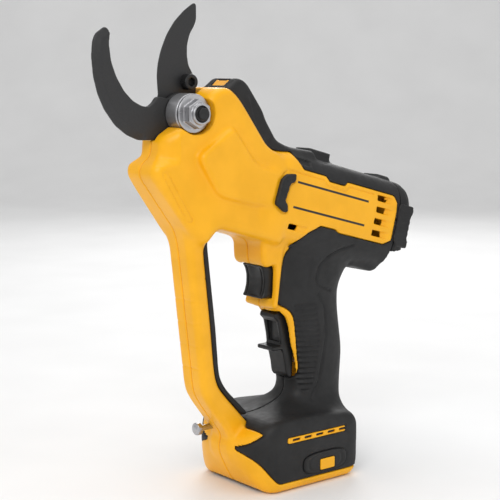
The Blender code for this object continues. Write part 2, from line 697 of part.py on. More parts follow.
def make_blades():
    pivot = cross_matrix(PIVOT_X, PIVOT_Z)
    screw = cross_matrix(SCREW_X, SCREW_Z)
    bolt_hole = rod("bolt_hole", pivot, BOLT_RADIUS + 0.1, -40.0, 40.0)
    screw_hole = rod("screw_hole", screw, 3.2, -40.0, 40.0)
    hook = prism("hook_jaw", HOOK_SIDE, *HOOK_Y, "coated_steel")
    cut(hook, bolt_hole)
    round_edges(hook, 0.5, 1)
    edge_middle = Vector((-57.0, 285.0))
    ground = []
    for point in BLADE_EDGE:
        inward = (edge_middle - Vector(point)).normalized() * GRIND_WIDTH
        ground.append((point[0] + inward.x, point[1] + inward.y))
    front = [(x, BLADE_Y[0], z) for x, z in BLADE_BACK + BLADE_EDGE]
    relief = [(x, BLADE_Y[0] + 0.4, z) for x, z in BLADE_BACK + BLADE_EDGE]
    back = [(x, BLADE_Y[1], z) for x, z in BLADE_BACK + ground]
    blade = rings("cutting_blade", [front, relief, back], "coated_steel")
    cut(blade, bolt_hole, screw_hole)
    move_origin(blade, PIVOT_X, 0.0, PIVOT_Z)
    head = rod("blade_screw", screw, 5.0, -3.9, 2.0, "black_oxide", 20)
    join(head, rod("blade_screw_shank", screw, 3.0, 1.5, 9.3, sides=16))
    socket = turned(
        "blade_screw_socket", [(0, -6.0), (2.9, -6.0), (2.9, -0.9), (0, -0.9)], screw, sides=6
    )
    cut(head, socket)
    move_origin(head, PIVOT_X, 0.0, PIVOT_Z)
    sector = prism("sector_gear", sector_outline(), *SECTOR_Y, "gear_steel")
    cut(sector, bolt_hole, screw_hole)
    move_origin(sector, PIVOT_X, 0.0, PIVOT_Z)


def sector_outline():
    """A hub and a fan of teeth, with a lug that the blade's screw goes into."""
    mesh_angle = math.degrees(math.atan2(IDLER_Z - PIVOT_Z, IDLER_X - PIVOT_X))
    teeth = toothed(SECTOR_TEETH, SPUR_MODULE, math.radians(mesh_angle), span=range(-10, 2))
    lug = arc((SCREW_X - PIVOT_X, SCREW_Z - PIVOT_Z), 5.6, -10.0, 150.0, 6)
    hub_low, hub_high = arc((0, 0), 14.0, -15.0, 25.0, 3), arc((0, 0), 14.0, 115.0, 210.0, 7)
    return [(PIVOT_X + x, PIVOT_Z + z) for x, z in [*teeth, *hub_low, *lug, *hub_high]]


def make_pivot():
    pivot = cross_matrix(PIVOT_X, PIVOT_Z)
    turned(
        "pivot_sleeve",
        [(SLEEVE_RADIUS, -13.4), (SLEEVE_RADIUS, HOOK_Y[0] - GAP), (5.2, HOOK_Y[0] - GAP), (5.2, -14.0),
         (SLEEVE_RADIUS - 0.6, -14.0)],
        pivot, "satin_steel", 28,
    )
    nut = rod("pivot_nut", pivot, 12.3, -16.3, -14.3, "zinc_steel", 28)
    hexagon = turned("nut_hexagon", [(0, -22.0), (9.24, -22.0), (9.24, -16.0), (0, -16.0)],
                     pivot @ Matrix.Rotation(math.radians(90.0), 4, "Z"), sides=6)
    join(nut, hexagon, rod("nut_collar", pivot, 6.7, -24.5, -21.5))
    cut(nut, rod("nut_bore", pivot, BOLT_RADIUS + 0.1, -40.0, 0.0))
    bolt = [(0, -27.0), (3.4, -27.0), (4.0, -26.4), (4.0, -23.0), (BOLT_RADIUS, -22.4),
            (BOLT_RADIUS, 13.0), (9.0, 13.0), (9.0, 18.2), (8.2, 19.0), (0, 19.0)]
    bolt = turned("pivot_bolt", bolt, pivot, "black_oxide", 20)
    cut(bolt, turned("bolt_socket", [(0, 15.0), (4.6, 15.0), (4.6, 25.0), (0, 25.0)], pivot, sides=6))
    ring("far_spacer", pivot, 5.2, 10.0, SECTOR_Y[1] + GAP, 12.7, "satin_steel")


# ---------------------------------------------------------------- drive train, motor end last

IDLER_ALONG = -89.06  # where the idler's shaft crosses the barrel's axis
IDLER_X, IDLER_Z = barrel_point(IDLER_ALONG, 0.0)
PINION_ALONG = IDLER_ALONG + BEVEL_MODULE * BEVEL_GEAR_TEETH / 2
CONE_SHARES = (1.0, 0.66)  # large and small end of the bevel teeth, as shares of the pitch radius


def gear_prism(name, teeth, module, phase, matrix, low, high, material=None, internal=False):
    outline = toothed(teeth, module, phase, internal)
    return rings(name, [[(x, y, along) for x, y in outline] for along in (low, high)], material, matrix)


def bevel_rim(teeth, phase, share, height):
    """One ring of a bevel gear's tooth tops and gaps. height gives a point's place from its tooth height."""
    loop = []
    for index in range(teeth):
        for shift, tooth_height in ((-0.32, -0.95), (-0.13, 0.65), (0.13, 0.65), (0.32, -0.95)):
            angle = phase + (index + shift) * 2 * math.pi / teeth
            loop.append(height(angle, share, tooth_height * BEVEL_MODULE * share))
    return loop


def make_bevel_gear():
    """The large bevel gear lies flat beside the shaft: its teeth stand up towards +Y."""
    gear_radius = BEVEL_MODULE * BEVEL_GEAR_TEETH / 2
    pinion_radius = BEVEL_MODULE * BEVEL_PINION_TEETH / 2
    matrix = cross_matrix(IDLER_X, IDLER_Z)
    facing = BARREL_TILT + math.pi / BEVEL_GEAR_TEETH

    def on_face(angle, share, tooth_height):
        radius = gear_radius * share
        return (radius * math.cos(angle), radius * math.sin(angle), tooth_height - pinion_radius * share)

    def at(radius, along):
        loop = bevel_rim(BEVEL_GEAR_TEETH, facing, 1.0, on_face)
        scale = radius / gear_radius
        return [(x * scale, y * scale, along) for x, y, z in loop]

    rims = [bevel_rim(BEVEL_GEAR_TEETH, facing, share, on_face) for share in CONE_SHARES]
    return rings(
        "bevel_gear",
        [at(gear_radius, -12.0), *rims, at(3.2, -12.0)],
        "gear_steel",
        matrix,
        hole=True,
    )


def make_idler():
    matrix = cross_matrix(IDLER_X, IDLER_Z)
    gear = make_bevel_gear()
    mesh_angle = math.atan2(PIVOT_Z - IDLER_Z, PIVOT_X - IDLER_X)
    phase = -mesh_angle + math.pi / IDLER_TEETH
    pinion = gear_prism(
        "idler_pinion", IDLER_TEETH, SPUR_MODULE, phase, matrix, *SECTOR_Y, "gear_steel"
    )
    join(pinion, rod("idler_shaft", matrix, 3.0, -16.5, 13.5, sides=20))
    for thing in (gear, pinion):
        move_origin(thing, IDLER_X, 0.0, IDLER_Z)
    ring("idler_bearing_left", matrix, 3.2, 6.5, -16.2, -13.2, "zinc_steel")
    ring("idler_bearing_right", matrix, 3.2, 6.5, 10.2, 13.2, "zinc_steel")


def make_gear_case():
    """A bracket of two plates that hold the idler, a web and a flange that bolts to the ring gear."""
    matrix = barrel_matrix()
    case = rings("gear_case", [[(x, y, s) for x, y in superellipse(19.0, 19.0, 2.0, 32)]
                               for s in (-62.0, -56.2)], "cast_aluminium", matrix)
    web = many("case_web", [add_box((-16.2, -13.0, -68.0), (13.2, 13.0, -61.0), matrix)])
    left = many("case_left", [add_box((-16.4, -11.0, -98.0), (-13.0, 12.4, -66.0), matrix)])
    right = many("case_right", [add_box((10.0, -11.4, -98.4), (13.4, 12.0, -66.4), matrix)])
    join(case, web, left, right)
    idler = cross_matrix(IDLER_X, IDLER_Z)
    cut(case, rod("idler_seat", idler, 6.7, -30.0, 30.0))
    cut(case, rod("output_seat", matrix, 8.2, -70.0, -50.0))
    ring("output_bearing", matrix, 4.2, 8.0, -67.5, -62.5, "zinc_steel")


def make_gearbox():
    matrix = barrel_matrix()
    carrier = rod("planet_carrier", matrix, 15.5, -55.2, -52.0, "gear_steel", 24)
    orbit = PLANET_MODULE * (SUN_TEETH + PLANET_TEETH) / 2
    pinion_radius = BEVEL_MODULE * BEVEL_PINION_TEETH / 2
    reach = PINION_ALONG - IDLER_ALONG

    def on_cone(angle, share, tooth_height):
        radius = pinion_radius * share + tooth_height
        return (radius * math.cos(angle), radius * math.sin(angle), IDLER_ALONG + reach * share)

    teeth = [bevel_rim(BEVEL_PINION_TEETH, math.pi, share, on_cone) for share in reversed(CONE_SHARES)]
    join(carrier, rings("pinion_teeth", teeth, matrix=matrix))
    join(carrier, rod("output_shaft", matrix, 4.0, PINION_ALONG - 0.5, -54.0, sides=20))
    for number, angle in enumerate(PLANET_ANGLES, start=1):
        turn = Matrix.Rotation(angle, 4, "Z")
        pin_matrix = matrix @ turn @ Matrix.Translation((orbit, 0.0, 0.0))
        join(carrier, rod(f"planet_pin_{number}", pin_matrix, 2.0, -53.0, -45.0, sides=16))
        gap_inwards = math.pi + math.pi / PLANET_TEETH
        planet = gear_prism(
            f"planet_gear_{number}", PLANET_TEETH, PLANET_MODULE, gap_inwards, pin_matrix, -51.5, -44.5,
            "gear_steel",
        )
        cut(planet, rod(f"planet_bore_{number}", pin_matrix, 2.15, -60.0, -40.0, sides=16))
        centre = matrix @ turn @ Vector((orbit, 0.0, -48.0))
        move_origin(planet, *centre)
    move_origin(carrier, *(matrix @ Vector((0.0, 0.0, -55.0))))
    housing = rod("ring_gear", matrix, 21.0, -55.7, -43.0, "gear_steel", 24)
    cut(housing, gear_prism("ring_teeth", RING_TEETH, PLANET_MODULE, 0.0, matrix, -60.0, -40.0,
                            internal=True))
    plate = rod("gearbox_plate", matrix, 21.0, -42.7, -39.7, "cast_aluminium", 24)
    cut(plate, rod("front_bearing_seat", matrix, 6.2, -50.0, -30.0))
    ring("front_bearing", matrix, 2.7, 6.0, -43.0, -38.5, "zinc_steel")


def make_motor():
    matrix = barrel_matrix()
    shaft = rod("rotor_shaft", matrix, 2.5, -44.0, 52.5, "satin_steel", 16)
    join(shaft, gear_prism("sun_teeth", SUN_TEETH, PLANET_MODULE, 0.0, matrix, -51.5, -43.6))
    magnets = ring("rotor_magnets", matrix, 2.7, 12.6, -28.0, 8.0, "magnet_steel", 20)
    stator = ring("stator_core", matrix, 13.2, 21.8, -30.0, 10.0, "magnet_steel", 24)
    winding = [(radius * math.cos(a), radius * math.sin(a)) for radius, a in
               [(21.0 if k % 2 else 18.6, 2 * math.pi * k / 24) for k in range(24)]]
    for name, low, high in (("front_windings", -37.0, -30.3), ("rear_windings", 10.3, 17.0)):
        coil = rings(name, [[(x, y, s) for x, y in winding] for s in (low, high)], "copper", matrix)
        cut(coil, rod(f"{name}_bore", matrix, 14.2, low - 5.0, high + 5.0))
    fan = rod("fan", matrix, 20.0, 34.0, 35.5, "black_plastic", 24)
    blades = []
    for index in range(7):
        turned_matrix = matrix @ Matrix.Rotation(2 * math.pi * index / 7, 4, "Z")
        blades.append(many(f"fan_blade_{index}", [add_box((3.5, -0.7, 28.5), (19.5, 0.7, 34.6), turned_matrix)]))
    join(fan, rod("fan_hub", matrix, 5.5, 27.6, 35.2), *blades)
    cut(fan, rod("fan_bore", matrix, 2.7, 20.0, 40.0))
    ring("rear_bearing", matrix, 2.7, 6.0, 47.0, 52.0, "zinc_steel")
    middle = matrix @ Vector((0.0, 0.0, -10.0))
    for thing in (shaft, magnets, fan):
        move_origin(thing, *middle)
    return stator


# ---------------------------------------------------------------- trigger, lock-off lever and grip parts

TRIGGER_SIDE = [
    (1.0, 148.7), (3.4, 145.0), (4.6, 140.0), (4.4, 134.0), (2.9, 129.0), (0.9, 126.3), (18.0, 126.3),
    (18.0, 148.7),
]
TRIGGER_HEIGHT = 137.5
LEVER_SIDE = [
    (16.0, 114.6), (14.6, 111.6), (18.0, 108.5), (20.3, 98.0), (21.0, 91.6), (13.0, 91.6), (13.0, 88.6),
    (21.4, 88.6), (22.5, 86.0), (24.5, 78.0), (25.5, 71.0), (27.5, 68.2), (30.5, 68.5), (31.0, 75.0),
    (31.0, 88.0), (34.0, 105.0), (34.0, 112.0), (30.0, 116.0), (22.0, 115.8),
]


def make_trigger():
    trigger = prism("trigger", TRIGGER_SIDE, -TRIGGER_WIDTH, TRIGGER_WIDTH, "black_plastic")
    round_edges(trigger, 1.2, 2)
    along_x = Matrix.Rotation(math.radians(90.0), 4, "Y")
    along_x.translation = Vector((0.0, 0.0, TRIGGER_HEIGHT))
    join(trigger, rod("trigger_stem", along_x, 3.0, 17.0, 34.0, sides=16))
    spring("trigger_spring", along_x, 4.6, 0.5, 18.3, 31.7, 4)
    switch = box("switch_body", (32.0, -9.0, 125.0), (52.0, 9.0, 151.0), "black_plastic", 0.8)
    cut(switch, rod("switch_bore", along_x, 5.7, 30.0, 39.6), rod("stem_bore", along_x, 3.3, 38.0, 43.0))


def spring(name, matrix, radius, wire, low, high, turns, material="satin_steel"):
    """A coil spring along the matrix's local Z."""
    per_turn, round_wire = 8, 4
    loops = []
    for step in range(turns * per_turn + 1):
        angle = 2 * math.pi * step / per_turn
        height = low + wire + (high - low - 2 * wire) * step / (turns * per_turn)
        loop = []
        for k in range(round_wire):
            around = 2 * math.pi * k / round_wire
            reach = radius + wire * math.cos(around)
            loop.append((reach * math.cos(angle), reach * math.sin(angle), height + wire * math.sin(around)))
        loops.append(loop)
    return rings(name, loops, material, matrix)


def make_lever():
    lever = prism("lockoff_lever", LEVER_SIDE, -LEVER_WIDTH, LEVER_WIDTH, "black_plastic")
    round_edges(lever, 0.8, 2)
    pin = cross_matrix(*LEVER_PIN)
    cut(lever, rod("lever_pin_hole", pin, 2.2, -40.0, 40.0, sides=16))
    move_origin(lever, LEVER_PIN[0], 0.0, LEVER_PIN[1])
    rod("lockoff_pin", pin, 2.0, -11.5, 11.5, "satin_steel", 16)
    along_x = Matrix.Rotation(math.radians(90.0), 4, "Y")
    along_x.translation = Vector((0.0, 0.0, 80.0))
    spring("lockoff_spring", along_x, 3.2, 0.45, 31.3, 40.0, 4)


def tag_outline():
    return [(34.7 + x, 15.4 + z) for x, z in superellipse(19.2, 7.0, 3.2, 20)]


def make_foot_parts():
    box("control_board", (0.0, -24.0, 24.0), (52.0, 24.0, 26.0), "board_green")
    box("terminal_block", (42.0, -18.0, 3.0), (60.0, 18.0, SEAT_Z - GAP), "black_plastic", 0.8)
    for name, side in (("left_contact", -1), ("right_contact", 1)):
        box(name, (30.0, side * 9.0 - 0.5, 4.5), (41.7, side * 9.0 + 0.5, 10.0), "brass")
    for name, side in (("left_vent_strip", -1), ("right_vent_strip", 1)):
        inner, outer = sorted((side * 37.0, side * 38.2))
        strip = box(name, (1.6, inner, 33.2), (53.0, outer, 36.8), "yellow_plastic")
        for index in range(5):
            x = 5.5 + 10.4 * index
            cut(strip, box(f"{name}_slot_{index}", (x, -60.0, 34.2), (x + 7.0, 60.0, 35.8)))
    badge = [(36.4 + x, 13.7 + z) for x, z in superellipse(6.5, 3.7, 4.0, 12)]
    cover = prism("tag_cover", tag_outline(), -38.5, -37.1, "black_plastic")
    cut(cover, prism("tag_pocket", offset(badge, GAP), -40.0, -37.9))
    prism("tag_insert", badge, -38.6, -38.1, "yellow_plastic")


def make_small_parts(seats):
    liner = prism("guard_liner", LINER_SIDE, -LINER_WIDTH, LINER_WIDTH, "black_rubber")
    cut(liner, shell_shape("liner_void", GAP))
    lens_shape("led_lens", material="lens_amber")
    forwards = Matrix.Rotation(math.radians(-90.0), 4, "Y")
    forwards.translation = Vector((0.0, STUD_Y, STUD_Z))
    stud = [(0, 22.5), (STUD_RADIUS, 22.5), (STUD_RADIUS, 37.0), (4.2, 37.6), (4.2, 40.4), (3.4, 41.2), (0, 41.2)]
    turned("lanyard_stud", stud, forwards, "zinc_steel", 16)
    box("led_board", (-19.0, -5.0, 264.0), (-14.0, 5.0, 265.4), "board_green")
    for x, z, half in BOSSES:
        number = BOSSES.index((x, z, half)) + 1
        top = half - SCREW_SINK
        matrix = cross_matrix(x, z)
        screw = rod(
            f"housing_screw_{number}", matrix, SCREW_HEAD_RADIUS, top - SCREW_HEAD_HEIGHT, top, "zinc_steel", 16
        )
        join(screw, rod(f"screw_shank_{number}", matrix, SCREW_SHANK_RADIUS, 6.0 - half, top - 1.0, sides=8))
        cut(screw, turned(f"screw_drive_{number}",
                          [(0, top - 1.2), (1.5, top - 1.2), (1.5, top + 1.0), (0, top + 1.0)],
                          matrix, sides=6))


def make_bumpers():
    """Rubber bumpers on the barrel's sides, front and rear."""
    barrel = barrel_shape("bumper_barrel", -1.5 * GAP)
    behind = many("behind_cap", [add_box((-24.5, -40.0, 68.0), (24.5, 40.0, 69.0 + GAP), barrel_matrix())])
    ends = {"front": (26.0, (-10.0, 15.0), (-62.0, -47.0)), "rear": (19.0, (-14.0, 16.0), (53.0, 71.0))}
    for side_name, side in (("left", -1), ("right", 1)):
        for end, (inner_face, heights, places) in ends.items():
            inner, outer = sorted((side * inner_face, side * 29.0))
            block = many(
                f"{side_name}_{end}_bumper",
                [add_box((inner, heights[0], places[0]), (outer, heights[1], places[1]), barrel_matrix())],
            )
            show(block, "black_rubber")
            cut(block, barrel, behind)


# ---------------------------------------------------------------- the whole tool


def make_material(name, colour, roughness, metallic):
    material = bpy.data.materials.new(name)
    material.use_nodes = True
    shader = material.node_tree.nodes["Principled BSDF"]
    shader.inputs["Base Color"].default_value = (*colour, 1.0)
    shader.inputs["Roughness"].default_value = roughness
    shader.inputs["Metallic"].default_value = metallic
    material.diffuse_color = (*colour, 1.0)
    return material


for old in list(bpy.data.objects):
    bpy.data.objects.remove(old, do_unlink=True)
MATERIALS = {name: make_material(name, *look) for name, look in COLOURS.items()}
FRAME = bpy.data.objects.new("frame", None)
FRAME.location = (-SEAT_X * MM, 0.0, -SEAT_Z * MM)
bpy.context.scene.collection.objects.link(FRAME)

screw_seats = make_shells()
make_covers(screw_seats)
make_blades()
make_pivot()
make_idler()
make_gear_case()
make_gearbox()
make_motor()
make_trigger()
make_lever()
make_foot_parts()
make_small_parts(screw_seats)
make_bumpers()
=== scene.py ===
"""Looks of the battery pruner: its shells, covers, blades and small parts are sculpted as distance
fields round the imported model, given procedural materials, and lit like a studio product picture."""

import json
import math

import bpy
import numpy as np
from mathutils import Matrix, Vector


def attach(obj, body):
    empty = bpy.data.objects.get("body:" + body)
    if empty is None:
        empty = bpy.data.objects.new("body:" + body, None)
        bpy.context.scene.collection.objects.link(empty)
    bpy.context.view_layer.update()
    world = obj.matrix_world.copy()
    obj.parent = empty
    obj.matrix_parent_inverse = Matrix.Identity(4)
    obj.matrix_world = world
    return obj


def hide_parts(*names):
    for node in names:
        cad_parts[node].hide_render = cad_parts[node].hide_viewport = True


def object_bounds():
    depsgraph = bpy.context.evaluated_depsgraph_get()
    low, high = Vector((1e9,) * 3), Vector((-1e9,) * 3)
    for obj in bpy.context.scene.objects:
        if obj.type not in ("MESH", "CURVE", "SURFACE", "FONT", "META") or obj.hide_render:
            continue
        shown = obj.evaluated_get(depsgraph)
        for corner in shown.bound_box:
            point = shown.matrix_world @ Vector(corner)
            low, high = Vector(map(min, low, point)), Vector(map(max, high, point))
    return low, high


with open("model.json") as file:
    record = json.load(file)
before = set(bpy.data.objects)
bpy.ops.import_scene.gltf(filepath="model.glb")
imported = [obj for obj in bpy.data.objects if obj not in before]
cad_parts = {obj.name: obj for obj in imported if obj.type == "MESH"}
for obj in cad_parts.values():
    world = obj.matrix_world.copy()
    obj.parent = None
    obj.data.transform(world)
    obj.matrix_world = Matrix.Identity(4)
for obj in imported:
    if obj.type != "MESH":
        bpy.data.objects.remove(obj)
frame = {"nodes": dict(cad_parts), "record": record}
cad_low, cad_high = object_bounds()

MM = 0.001
SEAT_X, SEAT_Z = 24.0, 12.0  # the frame's origin, in the tool's own millimetres
COARSE = 0.8  # sampling step of the shells and covers
FINE = 0.4  # sampling step of the blades and small parts
TINY = 0.35  # sampling step of the nut and the blade's screw

# Sizes in millimetres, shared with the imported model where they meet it
GAP = 0.35  # between neighbouring pieces
WALL = 2.4  # thickness of the yellow shells
SKIN = 2.2  # thickness of the soft covers
TILT = math.radians(15.0)  # of the barrel's axis, which falls towards the rear
BARREL_X, BARREL_Z = 60.0, 182.0  # where along and up are 0
BARREL_WIDTH, BARREL_HEIGHT = 27.0, 32.0  # half sizes
BARREL_FRONT, BARREL_REAR = -76.0, 69.0  # along its axis
CAP_START = 54.0  # where the rear cap begins along the barrel
COVER_END = CAP_START - 0.5  # where the soft covers end along the barrel
GRIP_LOW, GRIP_HIGH = 34.0, 168.0
GRIP_POWER = 2.7  # the grip's section lies between an oval (2) and a rectangle
GUARD_HALF, HOUSING_HALF, PANEL_HALF = 12.0, 16.5, 25.5  # half widths
PIVOT = (-57.5, 250.7)
PIVOT_BORE = 5.1
SCREW = (-50.2, 270.0)
SCREW_BORE = 3.2
SLEEVE_RADIUS = 12.5
COLLAR = 3.4  # the ring of plastic left standing round the sleeve
SECTOR_REACH = 47.9  # radius of the room that the drive sector needs
SECTOR_ANGLES = (-2.2, 0.37)  # in radians, over the blade's whole travel
TRIGGER_Z = 137.5
LEVER_PIN = (28.0, 111.0)
LEVER_SPRING_Z = 81.0
BAY_HALF, BAY_FRONT = 32.0, -13.0
RAIL_INSIDE, RAIL_TOP = 26.0, 5.0
STRIP_X, STRIP_Z = 27.3, 35.0  # middle of the vent strip on the foot's side
TAG_MIDDLE, TAG_HALF = (34.7, 15.4), (19.2, 7.0)
TAG_POWER = 3.2
BADGE_MIDDLE, BADGE_HALF = (36.4, 13.7), (6.5, 3.8)
STUD = (7.0, 41.0)  # the lanyard stud's axis, as (y, z)
SIDES = ((-1, "left"), (1, "right"))

# Where the camera stands and looks, in metres
CAMERA_SPOT = Vector((-0.5652, -0.6660, 0.2700))
CAMERA_AIM = Vector((-0.024, 0.0, 0.14639))
CAMERA_LENS = 93.6

# ---------------------------------------------------------------- outlines, seen from the side

HEAD_SIDE = [
    (-79.0, 236.0), (-80.0, 224.5), (-87.5, 219.5), (-89.0, 213.0), (-82.0, 203.5), (-60.5, 174.5),
    (-50.0, 168.0), (-41.0, 177.5), (-27.0, 173.5), (10.0, 163.0), (10.0, 222.0), (-2.0, 229.0),
    (-23.6, 258.5), (-29.0, 264.0), (-34.0, 267.0), (-44.0, 265.5), (-60.0, 247.0),
]
HEAD_WIDTHS = [(-95.0, 13.5), (-84.0, 17.5), (-60.0, 19.0), (-42.0, 21.5), (-20.0, 22.7), (8.0, 22.7)]
PANEL_SIDE = [
    (-35.0, 241.0), (-60.0, 224.5), (-46.0, 201.0), (-40.0, 197.5), (-17.0, 191.5), (6.0, 188.4),
    (6.0, 211.2), (-14.0, 217.5), (-28.0, 236.0), (-31.5, 240.5),
]
TRIGGER_HOUSING = [
    (-3.0, 176.0), (-2.0, 151.0), (2.0, 147.5), (9.0, 149.5), (11.0, 145.0), (9.5, 126.0), (7.0, 120.5),
    (11.5, 118.4), (13.4, 137.0), (14.6, 147.0), (16.0, 158.0), (19.0, 176.0),
]
TRIGGER_ROOM = [(15.2, 121.5), (15.2, 150.0), (3.0, 153.0), (1.0, 170.0), (30.0, 170.0), (30.0, 121.5)]
TRIGGER_SLOT = [(-10.0, 126.0), (27.0, 126.0), (27.0, 149.0), (-10.0, 149.0)]
LEVER_ROOM = [(-10.0, 65.8), (42.0, 65.8), (42.0, 110.0), (36.0, 116.2), (-10.0, 116.2)]
JAW_GAP = [
    (-79.2, 234.0), (-110.0, 234.0), (-110.0, 300.0), (-34.0, 300.0), (-40.0, 262.0), (-50.0, 240.0),
]
HOLLOW_ZONE = [  # where the yellow shells are hollow: the head and the barrel
    (-84.0, 178.0), (-50.0, 176.0), (-8.0, 172.0), (0.0, 120.0), (40.0, 116.0), (120.0, 120.0),
    (120.0, 230.0), (-20.0, 262.0), (-76.0, 232.0),
]
GRIP_ZONE = [  # the yellow rim round the trigger and the lock-off lever
    (-60.0, 60.0), (-20.0, 60.0), (18.0, 66.5), (27.0, 66.5), (31.5, 68.5), (33.0, 74.0), (30.3, 89.0),
    (27.3, 104.5), (25.5, 113.0), (21.0, 118.0), (14.0, 121.5), (11.8, 128.6), (13.4, 142.8), (16.6, 152.8),
    (22.6, 162.0), (31.6, 169.9), (20.0, 215.0), (-60.0, 215.0),
]
BARREL_ZONE = [  # the yellow panel along the barrel's side, as (along, up)
    (-90.0, -40.0), (-34.0, -31.0), (-25.5, -19.2), (-17.0, -12.9), (-3.0, -12.9), (0.5, -14.6),
    (44.0, -14.6), (50.5, -11.0), (50.5, 16.0), (47.0, 20.3), (1.0, 20.3), (-1.5, 17.2), (-16.5, 17.2),
    (-19.5, 20.3), (-40.0, 20.3), (-47.0, 29.0), (-52.0, 40.0), (-90.0, 40.0),
]
PANEL_LINE = [  # the groove that frames the barrel's panel, as (along, up)
    (-59.0, 9.0), (-57.0, 14.8), (-54.0, 17.3), (-21.5, 17.3), (-17.5, 14.0), (-0.5, 14.0), (3.0, 17.3),
    (27.0, 17.3),
]
NOSE_LINE = [(-80.0, 213.6), (-62.9, 184.8)]  # the loop groove below the jaws follows it
GROOVE, GROOVE_DEPTH = 0.45, 0.7  # half width and depth
LEVER_FRONT = [  # in front of the rim, where the lever's sides show
    (-10.0, 69.5), (27.0, 69.5), (29.5, 72.5), (27.0, 88.0), (23.8, 106.0), (20.5, 113.5), (15.0, 116.2),
    (-10.0, 116.2),
]
GUARD_SIDE = [
    (-60.5, 174.5), (-53.0, 111.0), (-49.8, 84.0), (-48.5, 72.0), (-45.5, 64.0), (-24.0, 35.5),
    (-27.5, 29.0), (-21.5, 16.5), (-8.0, 16.5), (-3.0, 36.5), (-33.0, 69.5), (-36.2, 76.0),
    (-37.9, 84.0), (-40.4, 111.0), (-46.5, 166.0), (-45.0, 174.0), (-50.0, 182.0),
]
LINER_SIDE = [
    (-33.0, 69.5), (-36.2, 76.0), (-37.9, 84.0), (-40.4, 111.0), (-46.5, 166.0), (-45.0, 174.0),
    (-40.0, 175.5), (-42.5, 168.0), (-35.8, 111.0), (-33.6, 84.0), (-32.3, 77.0), (-27.5, 69.0),
    (-8.5, 49.5), (-14.5, 49.2),
]
FOOT_SIDE = [
    (-13.0, 0.0), (-20.0, 11.0), (-28.0, 28.0), (-24.0, 36.0), (-10.0, 47.5), (16.0, 48.5),
    (62.0, 44.5), (69.0, 39.0), (70.0, 34.0), (70.0, 9.0), (63.0, 0.0),
]
FOOT_PLAN = [
    (-29.0, -12.0), (-24.0, -24.0), (-11.0, -38.0), (61.0, -38.0), (67.5, -35.5), (70.0, -29.0),
    (70.0, 29.0), (67.5, 35.5), (61.0, 38.0), (-11.0, 38.0), (-24.0, 24.0), (-29.0, 12.0),
]
FOOT_ZONE = [  # the yellow apron and the strip along the foot's bottom edge
    (-60.0, -5.0), (90.0, -5.0), (90.0, 6.0), (-6.0, 6.5), (-11.0, 12.0), (-17.0, 21.0), (-26.0, 29.8),
    (-13.5, 41.0), (-17.0, 43.0), (-60.0, 60.0),
]
GRIP_SECTIONS = [  # height, front edge, rear edge, half width
    (34.0, -8.0, 69.0, 33.0), (43.0, 4.0, 72.0, 27.0), (50.0, 23.0, 73.5, 19.5), (60.0, 30.5, 74.5, 17.0),
    (84.0, 26.0, 76.5, 17.2), (114.0, 14.0, 72.5, 17.4), (128.0, 8.5, 73.0, 17.2), (140.0, 8.0, 80.0, 17.6),
    (152.0, 10.0, 92.0, 19.0), (166.0, 10.0, 96.0, 21.0),
]
BARREL_SHARES = [  # place along the axis, share of the full width and height
    (-74.0, 0.66, 0.60), (-66.0, 0.86, 0.84), (-58.0, 0.97, 0.95), (-50.0, 1.0, 1.0), (60.0, 1.0, 1.0),
    (66.0, 0.95, 0.95), (BARREL_REAR, 0.86, 0.86),
]
TOP_SIDE = [  # the hump over the drive sector
    (-31.0, 265.4), (-27.0, 268.0), (-21.0, 272.5), (-16.0, 271.5), (-12.0, 268.5), (0.5, 251.5),
    (3.0, 245.5), (12.0, 232.0), (22.0, 226.5), (46.0, 222.5), (40.0, 190.0), (-6.0, 200.0), (-40.0, 240.0),
]
HUMP_PANEL = [(-13.0, 262.0), (-9.0, 262.0), (2.0, 246.0), (8.0, 236.5), (4.0, 229.0), (-6.0, 241.0)]
TOP_TABS = (((-24.0, -5.0), 38.0, 9.0), ((44.0, 60.0), 34.2, 10.0))  # span along, top, half width
HOOK_OUTER = [
    (-111.0, 303.8), (-117.9, 299.4), (-120.0, 294.9), (-120.8, 285.9), (-119.7, 273.9), (-116.8, 263.2),
    (-112.4, 254.0), (-104.8, 244.2), (-96.6, 238.1), (-88.1, 234.6),
]
HOOK_TANG = [(-76.0, 234.6), (-73.6, 230.0), (-66.0, 223.5), (-50.0, 222.0), (-43.0, 232.0)]
HOOK_INNER = [
    (-66.5, 259.8), (-74.8, 261.4), (-78.2, 257.1), (-81.6, 255.0), (-86.8, 255.7), (-93.4, 259.0),
    (-99.8, 265.2), (-105.2, 273.8), (-108.7, 282.9), (-110.1, 293.5), (-109.1, 300.5),
]
BLADE_BACK = [
    (-43.5, 319.5), (-41.7, 318.3), (-41.7, 309.2), (-43.3, 305.2), (-46.9, 300.0), (-49.0, 293.2),
    (-49.2, 286.8), (-48.1, 280.4), (-45.1, 275.7), (-42.0, 268.0), (-43.0, 258.0),
]
BLADE_EDGE = [
    (-71.5, 258.0), (-71.5, 262.6), (-72.3, 273.6), (-71.5, 281.4), (-69.0, 290.0), (-64.6, 299.4),
    (-58.6, 307.7), (-50.7, 314.9), (-43.5, 319.5),
]
TRIGGER_SIDE = [
    (1.0, 148.7), (3.4, 145.0), (4.6, 140.0), (4.4, 134.0), (2.9, 129.0), (0.9, 126.3), (18.0, 126.3),
    (18.0, 148.7),
]
LEVER_SIDE = [
    (16.0, 114.6), (14.6, 111.6), (18.0, 108.5), (20.3, 98.0), (21.0, 91.6), (13.0, 91.6), (13.0, 88.6),
    (21.4, 88.6), (22.5, 86.0), (24.5, 78.0), (25.5, 71.0), (27.5, 68.2), (30.5, 68.5), (31.0, 75.0),
    (31.0, 88.0), (34.0, 105.0), (34.0, 112.0), (30.0, 116.0), (22.0, 115.8),
]
